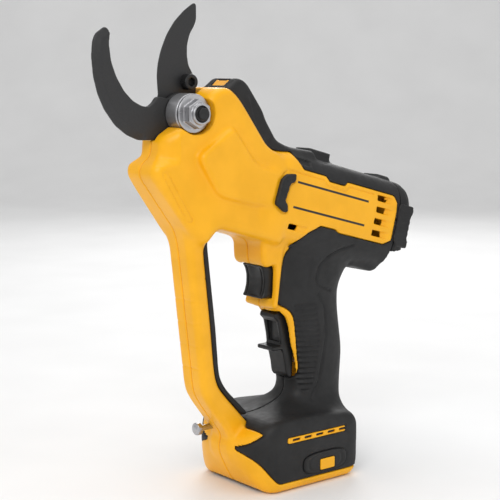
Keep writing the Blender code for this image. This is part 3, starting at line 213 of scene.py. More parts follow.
FRONT_BUMPER = [  # as (along, up)
    (-60.5, 9.5), (-57.0, 14.2), (-48.8, 16.0), (-48.6, 10.5), (-52.3, 8.8), (-54.0, -3.5), (-51.0, -5.0),
    (-50.2, -9.8), (-53.5, -10.5), (-61.5, -6.5),
]
REAR_BUMPER = [
    (51.0, 13.5), (53.0, 16.0), (65.5, 16.0), (66.0, 10.0), (64.5, 9.0), (64.5, -8.0), (66.0, -9.0),
    (65.5, -14.0), (54.5, -14.0), (51.0, -9.0),
]
TAIL_SIDE = [(24.0, -22.0), (28.0, -33.5), (50.0, -34.8), (56.0, -31.0), (53.0, -22.0)]  # (along, up)
VENT_ROWS = (15.8, 7.7, -0.5, -8.7)
VENT_SPAN = (30.5, 38.0)
VENT_HALF = 2.0
SIDE_SLOT = ((-44.5, -36.5), (-20.0, -16.4))  # spans along and up the barrel
PAINT_HEIGHTS = (11.3, -5.4)  # the two printed lines on the barrel's side
PAINT_SPAN = (-12.0, 33.5)  # their middle and half length along the barrel
RIB_AREA = [
    (25.0, 121.0), (44.0, 121.0), (48.0, 96.0), (43.0, 62.0), (35.0, 56.0), (31.0, 74.0), (28.5, 95.0),
]
RIB_PITCH = 3.8
GRIP_LINES = [
    [(72.0, 158.0), (60.0, 155.4), (46.0, 146.0), (43.5, 133.5), (58.0, 127.0)],
    [(46.0, 126.0), (52.0, 117.0), (54.0, 96.0), (47.0, 62.0), (39.0, 53.5)],
]
GRIP_PATCH = [(19.0, 155.0), (39.5, 152.0), (37.5, 132.5), (17.5, 135.5)]

# ---------------------------------------------------------------- distance fields, in millimetres


class Block:
    """Space sampled every cell: x, y and z along its three sides, along and up in the barrel's axes."""

    def __init__(self, low, high, cell):
        counts = [int(math.ceil((b - a) / cell)) + 1 for a, b in zip(low, high)]
        rows = [a + cell * np.arange(n, dtype=np.float32) for a, n in zip(low, counts)]
        self.low, self.cell = np.array(low, np.float32), cell
        self.x = rows[0][:, None, None]
        self.y = rows[1][None, :, None]
        self.z = rows[2][None, None, :]
        right, above = self.x - BARREL_X, self.z - BARREL_Z
        self.along = right * math.cos(TILT) - above * math.sin(TILT)
        self.up = right * math.sin(TILT) + above * math.cos(TILT)


def bent(outline, radius, closed=True, steps=4):
    """The outline with each corner turned into a curve that starts up to radius away from it."""
    result = []
    for index, point in enumerate(outline):
        if not closed and index in (0, len(outline) - 1):
            result.append(point)
            continue
        corner = Vector(point)
        back = Vector(outline[index - 1]) - corner
        ahead = Vector(outline[(index + 1) % len(outline)]) - corner
        start = corner + back.normalized() * min(radius, back.length / 2)
        end = corner + ahead.normalized() * min(radius, ahead.length / 2)
        for step in range(steps + 1):
            t = step / steps
            place = start * (1 - t) ** 2 + corner * (2 * t * (1 - t)) + end * t * t
            result.append((place.x, place.y))
    return result


def away_from(line, across, above, closed=False):
    """Distance to a line of points; for a closed outline it is negative inside."""
    nearest = np.full(np.broadcast(across, above).shape, 1e9, np.float32)
    inside = np.zeros(nearest.shape, bool)
    ends = line[1:] + line[:1] if closed else line[1:]
    for (ax, az), (bx, bz) in zip(line, ends):
        run, rise = bx - ax, bz - az
        square = run * run + rise * rise
        if square < 1e-9:
            continue
        right, high = across - ax, above - az
        share = np.clip((right * run + high * rise) / square, 0.0, 1.0)
        nearest = np.minimum(nearest, (right - share * run) ** 2 + (high - share * rise) ** 2)
        if closed and rise:
            inside ^= ((az <= above) != (bz <= above)) & (right < high * run / rise)
    return np.where(inside, -1.0, 1.0).astype(np.float32) * np.sqrt(nearest)


def flat(block, outline, radius=0.0, leaning=False):
    """Distance to an outline in the side view, or in the barrel's axes if leaning."""
    line = bent(outline, radius) if radius else outline
    across, above = (block.along, block.up) if leaning else (block.x, block.z)
    return away_from(line, across, above, closed=True)


def slab(side, y, half, edge):
    """A plate with the side view's outline, from -half to half in y, its edges rounded."""
    inward, outward = side + edge, np.abs(y) - half + edge
    corner = np.hypot(np.maximum(inward, 0.0), np.maximum(outward, 0.0))
    return np.minimum(np.maximum(inward, outward), 0.0) + corner - edge


def within(value, middle, half):
    """Distance to the span that reaches half to each side of the middle, negative inside it."""
    return np.abs(value - middle) - half


def overlap(shape, *others):
    """Where all the shapes are, with sharp edges."""
    for other in others:
        shape = np.maximum(shape, other)
    return shape


def union(shape, *others):
    """Where any of the shapes is, with sharp edges."""
    for other in others:
        shape = np.minimum(shape, other)
    return shape


def blend(a, b, width):
    """Both shapes, with a fillet of this width where they meet."""
    near = np.maximum(width - np.abs(a - b), 0.0) / width
    return np.minimum(a, b) - near * near * (width / 4)


def both(a, b, width=0.5):
    """Where the shapes overlap, with the new edge rounded."""
    return -blend(-a, -b, width)


def carve(a, b, width=0.5):
    """The first shape without the second."""
    return -blend(-a, b, width)


def eased(places, table, column, reach):
    """A column of a table against its first one, with the kinks smoothed over reach."""
    rows = [row[0] for row in table]
    values = [row[column] for row in table]
    shifts = np.linspace(-reach, reach, 7)
    return sum(np.interp(places + shift, rows, values) for shift in shifts).astype(np.float32) / len(shifts)


def barrel(block, inset=0.0, rear=BARREL_REAR):
    """The barrel's outer surface, or one inset from it, ending at rear."""
    wide = BARREL_WIDTH * eased(block.along, BARREL_SHARES, 1, 2.0) - inset
    tall = BARREL_HEIGHT * eased(block.along, BARREL_SHARES, 2, 2.0) - inset
    ratio = np.cbrt((np.abs(block.y) / wide) ** 3 + (np.abs(block.up) / tall) ** 3)
    skin = (ratio - 1.0) * np.minimum(wide, tall)
    rounding = 9.0 if rear == BARREL_REAR else 0.5
    skin = both(skin, block.along - rear + inset, rounding)
    return both(skin, BARREL_FRONT - block.along)


def grip(block, inset=0.0):
    """The grip's outer surface, or one inset from it."""
    front, rear, width = (eased(block.z, GRIP_SECTIONS, column, 5.0) for column in (1, 2, 3))
    length = (rear - front) / 2 - inset
    width = width - inset
    across = np.abs(block.x - (front + rear) / 2) / length
    ratio = across**GRIP_POWER + (np.abs(block.y) / width) ** GRIP_POWER
    skin = (ratio ** (1 / GRIP_POWER) - 1.0) * np.minimum(length, width)
    return both(skin, np.maximum(GRIP_LOW - block.z, block.z - GRIP_HIGH), 1.0)


def foot(block, inset=0.0):
    """The foot's outer surface, where its side view and its plan meet, or one inset from it."""
    side = flat(block, FOOT_SIDE, 6.0)
    plan = away_from(bent(FOOT_PLAN, 7.0), block.x, block.y, closed=True)
    return both(side, plan, 7.0) + inset


def head(block):
    """The yellow head, with the nose below the hook stepped in."""
    half = eased(block.x, HEAD_WIDTHS, 1, 4.0)
    above = np.clip((block.z - 219.0) / 5.0, 0.0, 1.0)
    ahead = np.clip((-70.0 - block.x) / 9.0, 0.0, 1.0)
    step = 5.5 * above * ahead
    return slab(flat(block, HEAD_SIDE, 4.5), block.y, half - step, 5.0)


def round_plate(block, middle, radius, low, high, edge=0.3):
    """A disc or rod round an axis that runs along y."""
    side = np.hypot(block.x - middle[0], block.z - middle[1]) - radius
    return slab(side, block.y - (low + high) / 2, (high - low) / 2, edge)


def hexagon(block, middle, flats, low, high, edge=0.3):
    """A six-sided bar along y, with its flats this far from the middle."""
    side = -1e9
    for index in range(3):
        angle = math.pi * index / 3
        reach = (block.x - middle[0]) * math.cos(angle) + (block.z - middle[1]) * math.sin(angle)
        side = np.maximum(side, np.abs(reach) - flats)
    return slab(side, block.y - (low + high) / 2, (high - low) / 2, edge)


def from_pivot(block):
    """Distance from the blades' pivot in the side view."""
    return np.hypot(block.x - PIVOT[0], block.z - PIVOT[1])


def arc(radius, degrees):
    """Points of a circle round the blades' pivot, at these angles."""
    angles = [math.radians(a) for a in degrees]
    return [(PIVOT[0] + radius * math.cos(a), PIVOT[1] + radius * math.sin(a)) for a in angles]


def brick(block, along, up, depth, radius=0.5):
    """A box in the barrel's axes, reaching in from the side by depth."""
    shape = np.maximum(
        np.abs(block.along - sum(along) / 2) - (along[1] - along[0]) / 2,
        np.abs(block.up - sum(up) / 2) - (up[1] - up[0]) / 2,
    )
    return both(shape, BARREL_WIDTH - depth - np.abs(block.y), radius)


def yellow(block):
    """Outer surface of the yellow shells, before they are hollowed."""
    guard = slab(flat(block, GUARD_SIDE, 9.0), block.y, GUARD_HALF, 4.5)
    shell = blend(head(block), guard, 9.0)
    panel = slab(flat(block, PANEL_SIDE, 6.0), block.y, PANEL_HALF, 3.0)
    body = both(barrel(block), flat(block, BARREL_ZONE, 1.0, leaning=True), 0.8)
    shell = blend(blend(shell, body, 5.0), panel, 3.0)
    rim = both(grip(block), flat(block, GRIP_ZONE, 4.0), 0.8)
    housing = slab(flat(block, TRIGGER_HOUSING, 4.0), block.y, HOUSING_HALF, 3.0)
    shell = blend(blend(shell, rim, 2.0), housing, 4.0)
    apron = both(foot(block), flat(block, FOOT_ZONE, 3.0), 0.8)
    shell = blend(shell, apron, 3.0)
    under = SKIN + GAP  # the shells go on below the soft covers
    return union(shell, barrel(block, under, CAP_START), grip(block, under), foot(block, under))


def yellow_details(block, shell):
    """Grooves, slots and recesses that are seen on the yellow shells' outside."""
    y = np.abs(block.y)
    outer = shell

    def sunk(shell, area, depth, inner, edge):
        """The shell with an area of its side sunk by depth, as far in as inner."""
        return carve(shell, overlap(area, -outer - depth, inner - y), edge)

    line = away_from(PANEL_LINE, block.along, block.up) - GROOVE
    shell = sunk(shell, line, GROOVE_DEPTH, 22.0, 0.3)
    nose_loop = within(away_from(NOSE_LINE, block.x, block.z), 1.9, GROOVE)
    shell = sunk(shell, nose_loop, GROOVE_DEPTH, 10.0, 0.3)
    rungs = within((block.z - 72.0 + 0.12 * block.x) % 15.0, 7.5, 0.35)
    rungs = overlap(rungs, within(block.z, 112.0, 34.0), block.x + 45.0)
    shell = carve(shell, np.maximum(rungs, -outer - 0.35), 0.3)
    for row in VENT_ROWS:
        shell = carve(shell, brick(block, VENT_SPAN, (row - VENT_HALF, row + VENT_HALF), 6.0), 0.5)
        depth = 2.4 - 0.22 * (block.along - VENT_SPAN[1])  # the recess runs out towards the rear
        recess = np.maximum(within(block.along, 42.5, 5.5), within(block.up, row, VENT_HALF))
        shell = sunk(shell, recess, depth, 10.0, 0.4)
    shell = carve(shell, brick(block, *SIDE_SLOT, 8.0), 0.5)
    run_out = np.maximum(within(block.along, -32.5, 4.5), within(block.up, -18.2, 1.8))
    shell = sunk(shell, run_out, 0.8, 10.0, 0.5)
    seat = np.maximum(flat(block, FRONT_BUMPER, 1.0, leaning=True) - 0.9, 25.6 - y)
    return carve(shell, seat, 0.5)


def sector_sweep(block):
    """The room that the drive sector swings through."""
    angle = np.arctan2(block.z - PIVOT[1], block.x - PIVOT[0])
    beside = 12.0 * np.maximum(angle - SECTOR_ANGLES[1], SECTOR_ANGLES[0] - angle)
    return overlap(from_pivot(block) - SECTOR_REACH, beside, within(block.y, 7.6, 3.1))


def openings(block):
    """What the shells are opened by: the jaws, the pivot, the moving pieces and the battery bay."""
    gap = slab(flat(block, JAW_GAP), block.y - 3.9, 6.4, 0.2)
    hole = from_pivot(block) - SLEEVE_RADIUS - 0.5
    lever_room = slab(flat(block, LEVER_ROOM, 3.0), block.y, 11.0, 0.5)
    lever_front = flat(block, LEVER_FRONT, 3.0)
    spring_room = np.hypot(block.y, block.z - LEVER_SPRING_Z) - 5.4
    spring_room = np.maximum(spring_room, within(block.x, 39.7, 6.4))
    trigger_room = slab(flat(block, TRIGGER_SLOT), block.y, 11.4, 0.5)
    bay = overlap(np.abs(block.y) - BAY_HALF, block.z - SEAT_Z, BAY_FRONT - block.x)
    over_rails = np.where(np.abs(block.y) > RAIL_INSIDE, RAIL_TOP - block.z, -50.0)
    bay = np.maximum(bay, over_rails)
    return union(gap, sector_sweep(block), hole, lever_front, lever_room, spring_room, trigger_room, bay)


def black_skin(block):
    """Outer surface of the soft cover on the grip, foot and barrel, with its ribs and grooves."""
    skin = blend(blend(grip(block), foot(block), 12.0), barrel(block, rear=COVER_END), 5.0)
    tail = slab(flat(block, TAIL_SIDE, 2.0, leaning=True), block.y, 15.0, 2.5)
    skin = both(blend(skin, tail, 3.0), block.along - COVER_END, 0.5)
    ribs = 0.5 * (1.0 - np.cos(2 * math.pi * (block.z - 57.0) / RIB_PITCH))
    skin = skin + ribs * np.clip(0.5 - flat(block, RIB_AREA, 3.0), 0.0, 1.0)
    skin = skin + 0.35 * np.clip(0.5 - flat(block, GRIP_PATCH, 1.0), 0.0, 1.0)
    for line in GRIP_LINES:
        depth = away_from(bent(line, 4.0, closed=False), block.x, block.z)
        skin = skin + 1.1 * np.exp(-((depth / 0.8) ** 2))
    return skin


def badge_area(block):
    """The badge on the tag, in the side view."""
    return both(
        within(block.x, BADGE_MIDDLE[0], BADGE_HALF[0]), within(block.z, BADGE_MIDDLE[1], BADGE_HALF[1]), 1.0
    )


def tag_area(block, grow=0.0):
    """The tag on the foot's left side, in the side view."""
    across = np.abs(block.x - TAG_MIDDLE[0]) / TAG_HALF[0]
    above = np.abs(block.z - TAG_MIDDLE[1]) / TAG_HALF[1]
    ratio = (across**TAG_POWER + above**TAG_POWER) ** (1 / TAG_POWER)
    return (ratio - 1.0) * TAG_HALF[1] - grow


# ---------------------------------------------------------------- meshes from fields

CORNERS = np.array([(x, y, z) for x in (0, 1) for y in (0, 1) for z in (0, 1)])
EDGES = [(a, b) for a in range(8) for b in range(a + 1, 8) if abs(CORNERS[a] - CORNERS[b]).sum() == 1]


def surface(values):
    """Vertices (in cells) and quads of the surface where the values pass through zero."""
    inside = values < 0
    size = [n - 1 for n in values.shape]

    def corner(array, offset):
        return array[tuple(slice(o, o + n) for o, n in zip(offset, size))]

    some = np.zeros(size, bool)
    every = np.ones(size, bool)
    for offset in CORNERS:
        some |= corner(inside, offset)
        every &= corner(inside, offset)
    mixed = some & ~every
    cells = np.argwhere(mixed)
    number = np.full(size, -1, np.int32)
    number[mixed] = np.arange(len(cells))
    samples = np.stack([corner(values, offset)[mixed] for offset in CORNERS], axis=1)
    total = np.zeros((len(cells), 3))
    count = np.zeros(len(cells))
    for a, b in EDGES:
        first, second = samples[:, a], samples[:, b]
        crossed = (first < 0) != (second < 0)
        share = np.where(crossed, first / np.where(crossed, first - second, 1.0), 0.0)
        place = CORNERS[a] + share[:, None] * (CORNERS[b] - CORNERS[a])
        total += place * crossed[:, None]
        count += crossed
    points = cells + total / count[:, None]
    quads = []
    for axis in range(3):
        others = [(axis + 1) % 3, (axis + 2) % 3]
        low = [slice(1, -1)] * 3
        high = [slice(1, -1)] * 3
        low[axis], high[axis] = slice(0, -1), slice(1, None)
        start, end = inside[tuple(low)], inside[tuple(high)]
        where = np.argwhere(start != end)
        outward = start[start != end]
        base = where + 1
        base[:, axis] -= 1
        ring = []
        for back_a, back_b in ((1, 1), (0, 1), (0, 0), (1, 0)):
            place = base.copy()
            place[:, others[0]] -= back_a
            place[:, others[1]] -= back_b
            ring.append(number[place[:, 0], place[:, 1], place[:, 2]])
        faces = np.stack(ring, axis=1)
        faces[~outward] = faces[~outward][:, ::-1]
        quads.append(faces)
    return points, np.concatenate(quads)


def place(name, block, values, body, slot_name, nodes, mirrored=False):
    """Makes the surface a piece in the frame, standing in for these CAD nodes."""
    points, quads = surface(values)
    points = block.low + block.cell * points
    if mirrored:
        points[:, 1] *= -1.0
        quads = quads[:, ::-1]
    points = (points - (SEAT_X, 0.0, SEAT_Z)) * MM
    mesh = bpy.data.meshes.new(name)
    mesh.vertices.add(len(points))
    mesh.vertices.foreach_set("co", points.astype(np.float32).ravel())
    mesh.loops.add(quads.size)
    mesh.loops.foreach_set("vertex_index", quads.astype(np.int32).ravel())
    mesh.polygons.add(len(quads))
    mesh.polygons.foreach_set("loop_start", np.arange(0, quads.size, 4, dtype=np.int32))
    mesh.polygons.foreach_set("use_smooth", np.ones(len(quads), bool))
    mesh.update(calc_edges=True)
    mesh.validate()
    piece = bpy.data.objects.new(name, mesh)
    bpy.context.scene.collection.objects.link(piece)
    mesh.materials.append(MATERIALS[slot_name])
    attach(piece, body)
    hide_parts(*nodes)
    return piece


# ---------------------------------------------------------------- materials

EVEN = (1.0, 1.0, 1.0)


def tree(name):
    """A new material, with its nodes, its links and its shader."""
    material = bpy.data.materials.new(name)
    material.use_nodes = True
    nodes, links = material.node_tree.nodes, material.node_tree.links
    return material, nodes, links, nodes["Principled BSDF"]


def noise(nodes, links, scale, detail=2.0, stretch=EVEN):
    """Noise fixed to the object, denser along an axis where stretch is above 1."""
    place = nodes.new("ShaderNodeTexCoord")
    mapping = nodes.new("ShaderNodeMapping")
    mapping.inputs["Scale"].default_value = stretch
    texture = nodes.new("ShaderNodeTexNoise")
    texture.inputs["Scale"].default_value = scale
    texture.inputs["Detail"].default_value = detail
    links.new(place.outputs["Object"], mapping.inputs["Vector"])
    links.new(mapping.outputs["Vector"], texture.inputs["Vector"])
    return texture.outputs["Fac"]


def ramp(nodes, links, value, stops):
    """A colour that runs between two stops, each a place and a colour."""
    shades = nodes.new("ShaderNodeValToRGB")
    for element, (position, shade) in zip(shades.color_ramp.elements, stops):
        element.position = position
        element.color = (*shade, 1.0)
    links.new(value, shades.inputs["Fac"])
    return shades.outputs["Color"]


def gloss(nodes, links, shader, value, rough):
    """Roughness that runs between the two given values."""
    shade = ramp(nodes, links, value, ((0.3, (rough[0],) * 3), (0.7, (rough[1],) * 3)))
    links.new(shade, shader.inputs["Roughness"])


def bump(nodes, links, shader, height, strength, distance):
    """Fine relief from the height, up to distance metres deep."""
    node = nodes.new("ShaderNodeBump")
    node.inputs["Strength"].default_value = strength
    node.inputs["Distance"].default_value = distance
    links.new(height, node.inputs["Height"])
    links.new(node.outputs["Normal"], shader.inputs["Normal"])


def sums(nodes, links, kind, *values):
    """A maths node of this kind on values that are sockets or numbers."""
    node = nodes.new("ShaderNodeMath")
    node.operation = kind
    for socket, value in zip(node.inputs, values):
        if isinstance(value, (int, float)):
            socket.default_value = value
        else:
            links.new(value, socket)
    return node.outputs[0]


def measured(nodes, links, direction, start):
    """How far a point of the object lies from start in this direction, in millimetres."""
    place = nodes.new("ShaderNodeTexCoord")
    along = nodes.new("ShaderNodeVectorMath")
    along.operation = "DOT_PRODUCT"
    along.inputs[1].default_value = Vector(direction) / MM
    links.new(place.outputs["Object"], along.inputs[0])
    return sums(nodes, links, "SUBTRACT", along.outputs["Value"], Vector(direction).dot(start))


def band(nodes, links, value, middle, half):
    """1 where the value is within half of the middle, with edges a quarter of a millimetre soft."""
    apart = sums(nodes, links, "ABSOLUTE", sums(nodes, links, "SUBTRACT", value, middle))
    inside = sums(nodes, links, "MULTIPLY", sums(nodes, links, "SUBTRACT", half, apart), 4.0)
    clamped = sums(nodes, links, "ADD", inside, 0.5)
    clamped.node.use_clamp = True
    return clamped


def add_barrel_lines(material, colour, paint):
    """Two printed lines along the barrel's side panel."""
    nodes, links = material.node_tree.nodes, material.node_tree.links
    shader = nodes["Principled BSDF"]
    start = (BARREL_X - SEAT_X, 0.0, BARREL_Z - SEAT_Z)
    along = measured(nodes, links, (math.cos(TILT), 0.0, -math.sin(TILT)), start)
    up = measured(nodes, links, (math.sin(TILT), 0.0, math.cos(TILT)), start)
    out = sums(nodes, links, "ABSOLUTE", measured(nodes, links, (0.0, 1.0, 0.0), (0.0, 0.0, 0.0)))
    bands = [band(nodes, links, up, height, 0.75) for height in PAINT_HEIGHTS]
    lines = sums(nodes, links, "MAXIMUM", *bands)
    lines = sums(nodes, links, "MULTIPLY", lines, band(nodes, links, along, *PAINT_SPAN))
    lines = sums(nodes, links, "MULTIPLY", lines, band(nodes, links, out, 30.0, 5.0))
    mix = nodes.new("ShaderNodeMix")
    mix.data_type = "RGBA"
    links.new(lines, mix.inputs["Factor"])
    links.new(colour, mix.inputs["A"])
    mix.inputs["B"].default_value = (*paint, 1.0)
    links.new(mix.outputs["Result"], shader.inputs["Base Color"])


def moulded(name, dark, light, rough, grain, depth, lines=None):
    """Moulded plastic or rubber: a faint mottle, a fine grain in relief and uneven gloss."""
    material, nodes, links, shader = tree(name)
    shader.inputs["Specular IOR Level"].default_value = 0.35
    colour = ramp(nodes, links, noise(nodes, links, 60.0, 3.0), ((0.35, dark), (0.65, light)))
    links.new(colour, shader.inputs["Base Color"])
    if lines:
        add_barrel_lines(material, colour, lines)
    gloss(nodes, links, shader, noise(nodes, links, 220.0), rough)
    bump(nodes, links, shader, noise(nodes, links, grain, 3.0), 0.35, depth)
    return material


def metal(name, dark, light, rough, metallic, stretch, scale=400.0, depth=0.00002):
    """Ground or coated metal: stretched marks in colour, gloss and height."""
    material, nodes, links, shader = tree(name)
    marks = noise(nodes, links, scale, 4.0, stretch)
    links.new(ramp(nodes, links, marks, ((0.3, dark), (0.7, light))), shader.inputs["Base Color"])
    gloss(nodes, links, shader, marks, rough)
    shader.inputs["Metallic"].default_value = metallic
    bump(nodes, links, shader, marks, 0.2, depth)
    return material


def grey(value):
    """A grey that is slightly cool."""
    return (value, value, value * 1.03)


LOOKS = {  # dark and light colour, range of roughness, then what else moulded or metal takes
    "yellow_plastic": (
        moulded, (0.93, 0.44, 0.006), (1.0, 0.48, 0.010), (0.32, 0.42), 2600.0, 0.00004, grey(0.02),
    ),
    "black_rubber": (moulded, grey(0.012), grey(0.017), (0.5, 0.62), 2200.0, 0.00008),
    "black_plastic": (moulded, grey(0.008), grey(0.012), (0.32, 0.42), 3000.0, 0.00004),
    "coated_steel": (metal, grey(0.030), grey(0.038), (0.44, 0.54), 0.35, EVEN, 900.0),
    "satin_steel": (metal, grey(0.40), grey(0.50), (0.34, 0.46), 0.85, (1.0, 12.0, 1.0)),
    "zinc_steel": (metal, grey(0.42), grey(0.50), (0.26, 0.36), 1.0, (1.0, 3.0, 1.0), 160.0),
    "black_oxide": (metal, grey(0.022), grey(0.034), (0.34, 0.44), 0.6, EVEN),
    "gear_steel": (metal, grey(0.30), grey(0.42), (0.30, 0.42), 0.9, (1.0, 8.0, 1.0)),
    "cast_aluminium": (metal, grey(0.48), grey(0.60), (0.45, 0.6), 0.9, EVEN, 1500.0, 0.00006),
    "copper": (metal, (0.62, 0.26, 0.11), (0.75, 0.36, 0.18), (0.3, 0.4), 0.9, (6.0, 1.0, 6.0)),
    "magnet_steel": (metal, grey(0.18), grey(0.26), (0.35, 0.45), 0.8, EVEN),
    "board_green": (moulded, (0.02, 0.16, 0.07), (0.03, 0.2, 0.09), (0.35, 0.45), 900.0, 0.00003),
    "lens_amber": (moulded, (0.80, 0.36, 0.03), (0.92, 0.46, 0.05), (0.08, 0.14), 1200.0, 0.00002),
    "brass": (metal, (0.68, 0.5, 0.2), (0.78, 0.6, 0.28), (0.25, 0.35), 0.9, EVEN),
}
MATERIALS = {name: maker(name, *look) for name, (maker, *look) in LOOKS.items()}

# ---------------------------------------------------------------- pieces

BARREL_BLOCK = ((-42.0, -27.8, 150.0), (133.0, 27.8, 275.0))


def make_shells_and_covers():
    for side, word in SIDES:
        block = Block((-93.0, -0.8, -1.6), (119.0, 40.0, 269.5), COARSE)
        outward = block.y
        block.y = outward * side  # the true y: the grid runs outwards, and place() mirrors the left side
        depth = np.abs(block.y)
        outside = yellow(block)
        make_shell(block, outside, outward, side, word)
        cover = both(black_skin(block), GAP - outside, 0.5)
        cover = both(cover, 0.15 - outward, 0.3)
        cover = both(cover, np.maximum(6.2 - block.z, block.up - 4.0), 0.3)
        pocket = np.maximum(tag_area(block, 0.3), 37.3 - depth)
        strip = overlap(within(block.x, STRIP_X, 26.0), within(block.z, STRIP_Z, 2.1), 37.1 - depth)
        cover = carve(carve(cover, pocket, 0.5), strip, 0.5)
        place(f"{word}_soft_cover", block, cover, "tool", "black_rubber", [f"{word}_grip_cover"], side < 0)


def make_shell(block, outside, outward, side, word):
    """One yellow half, hollow where the drive and the trigger are."""
    half = both(outside, GAP / 2 - outward, 0.3)
    collar = from_pivot(block) - SLEEVE_RADIUS - COLLAR
    room = overlap(outside + WALL, flat(block, HOLLOW_ZONE), -collar)
    room = np.minimum(room, slab(flat(block, TRIGGER_ROOM), block.y, 13.9, 0.5))
    shell = carve(yellow_details(block, half), room, 0.3)
    shell = carve(shell, openings(block), 0.5)
    place(f"{word}_shell", block, shell, "tool", "yellow_plastic", [f"{word}_housing"], side < 0)


def make_top_cover():
    block = Block(*BARREL_BLOCK, COARSE)
    outside = yellow(block)
    hump = slab(flat(block, TOP_SIDE, 3.0), block.y, 14.5, 4.0)
    hump = carve(hump, np.maximum(flat(block, HUMP_PANEL, 2.0), 13.9 - np.abs(block.y)), 0.5)
    skin = both(barrel(block, rear=COVER_END), 4.5 - block.up, 0.5)
    top = blend(hump, skin, 5.0)
    for (start, end), height, half in TOP_TABS:
        tab = np.maximum(within(block.along, (start + end) / 2, (end - start) / 2), block.up - height)
        tab = both(tab, 20.0 - block.up, 1.0)
        top = blend(top, both(tab, np.abs(block.y) - half, 3.0), 2.5)
    top = both(top, block.along - COVER_END, 0.5)
    slot = np.maximum(within(block.along, -38.5, 6.0), within(block.up, 25.3, 1.8))
    top = carve(top, overlap(slot, -top - 1.0, 10.0 - np.abs(block.y)), 0.3)
    top = both(top, GAP - outside, 0.5)
    hollow = slab(flat(block, TOP_SIDE) + WALL, block.y, 12.0, 0.5)
    hollow = np.maximum(hollow, -20.5 - block.x)
    for room in (hollow, sector_sweep(block), lens(block, 0.3)):
        top = carve(top, room, 0.3)
    place("top_skin", block, top, "tool", "black_rubber", ["top_cover"])


def make_end_cap():
    block = Block(*BARREL_BLOCK, COARSE)
    from_axis = np.hypot(block.y, block.up)
    holder = from_axis - 9.0  # the ring that holds the motor's rear bearing
    cap = both(barrel(block), CAP_START + GAP - block.along, 0.6)
    ridge = np.maximum(within(block.along, 61.5, 0.5), 22.0 - block.up)
    cap = cap + 0.5 * np.clip(0.8 - ridge, 0.0, 1.0)
    cap = carve(cap, overlap(barrel(block, 5.0, 63.5), 50.0 - block.along, -holder), 0.3)
    ring = overlap(holder, 6.3 - from_axis, within(block.along, 55.0, 9.0))
    place("end_cap", block, np.minimum(cap, ring), "tool", "black_rubber", ["rear_cap"])


def lens(block, grow=0.0):
    """The work light's window, square to the hump's sloping front."""
    slope = math.radians(41.0)
    right, above = block.x + 24.6, block.z - 268.9
    along = right * math.cos(slope) + above * math.sin(slope)
    out = -right * math.sin(slope) + above * math.cos(slope)
    side = np.maximum(within(along, 0.0, 3.0), within(out, -1.2, 1.6)) - grow
    return slab(side, block.y, 6.4 + grow, 0.5)


def make_bumpers():
    bumpers = (
        ("front", FRONT_BUMPER, (-6.0, 180.0), (20.0, 215.0), 29.0),
        ("rear", REAR_BUMPER, (102.0, 146.0), (134.0, 188.0), 28.6),
    )
    for side, word in SIDES:
        for name, outline, (low_x, low_z), (high_x, high_z), reach in bumpers:
            block = Block((low_x, 17.0, low_z), (high_x, 30.5, high_z), FINE)
            plate = slab(flat(block, outline, 1.5, leaning=True), block.y, reach, 1.5)
            if name == "front":
                plate = np.maximum(plate, 26.0 - block.y)
            plate = carve(plate, barrel(block, -0.45), 0.3)
            grooved = 0.5 * (1.0 - np.cos(2 * math.pi * block.up / 4.2))
            plate = plate + 0.25 * grooved * (block.y > reach - 0.9)
            node = f"{word}_{name}_bumper"
            place(f"{word}_{name}_pad", block, plate, "tool", "black_rubber", [node], side < 0)


def make_liner():
    block = Block((-50.0, -11.0, 45.0), (-4.0, 11.0, 180.0), 0.6)
    outside = yellow(block)
    liner = slab(flat(block, LINER_SIDE, 4.0) - 0.2, block.y, 9.5, 2.0)
    liner = both(liner, GAP - outside, 0.4)
    place("soft_liner", block, liner, "tool", "black_rubber", ["guard_liner"])


def make_hook():
    block = Block((-123.0, -3.2, 219.0), (-40.0, 3.2, 306.5), FINE)
    outline = HOOK_OUTER + HOOK_TANG + arc(12.8, range(0, 131, 13)) + HOOK_INNER
    outer = away_from(bent(HOOK_OUTER, 6.0, closed=False), block.x, block.z)
    bevel = 0.5 * np.maximum(4.6 - outer, 0.0)
    hook = slab(away_from(bent(outline, 2.0), block.x, block.z, closed=True), block.y, 2.0, 0.3)
    hook = both(hook, -block.y - 2.0 + bevel, 0.3)
    hook = carve(hook, round_plate(block, PIVOT, PIVOT_BORE, -20.0, 20.0), 0.2)
    place("hook", block, hook, "tool", "coated_steel", ["hook_jaw"])


def make_blade():
    block = Block((-74.5, 1.0, 235.0), (-39.5, 6.6, 321.5), FINE)
    outline = bent(BLADE_BACK + arc(14.0, range(0, -181, -15)) + BLADE_EDGE[:-1], 2.0)
    edge = away_from(bent(BLADE_EDGE[1:], 6.0, closed=False), block.x, block.z)
    bevel = 0.55 * np.maximum(3.6 - edge, 0.0)
    blade = slab(away_from(outline, block.x, block.z, closed=True), block.y - 3.8, 1.5, 0.25)
    blade = both(blade, block.y - 5.3 + bevel, 0.2)
    for middle, radius in ((PIVOT, PIVOT_BORE), (SCREW, SCREW_BORE)):
        blade = carve(blade, round_plate(block, middle, radius, -20.0, 20.0), 0.2)
    place("shear_blade", block, blade, "blade", "coated_steel", ["cutting_blade"])


def make_blade_screw():
    block = Block((-56.5, -5.0, 263.5), (-44.0, 10.2, 276.5), TINY)
    screw = round_plate(block, SCREW, 5.0, -3.9, 2.0, 0.7)
    screw = carve(screw, hexagon(block, SCREW, 2.5, -9.0, -0.9, 0.1), 0.3)
    turn = np.arctan2(block.z - SCREW[1], block.x - SCREW[0])
    knurl = 0.12 * (1.0 + np.cos(turn * 26.0))
    screw = screw + knurl * (np.abs(block.y + 0.8) < 2.0)
    screw = np.minimum(screw, round_plate(block, SCREW, 3.0, 1.5, 9.3, 0.3))
    place("clamp_screw", block, screw, "blade", "black_oxide", ["blade_screw"])


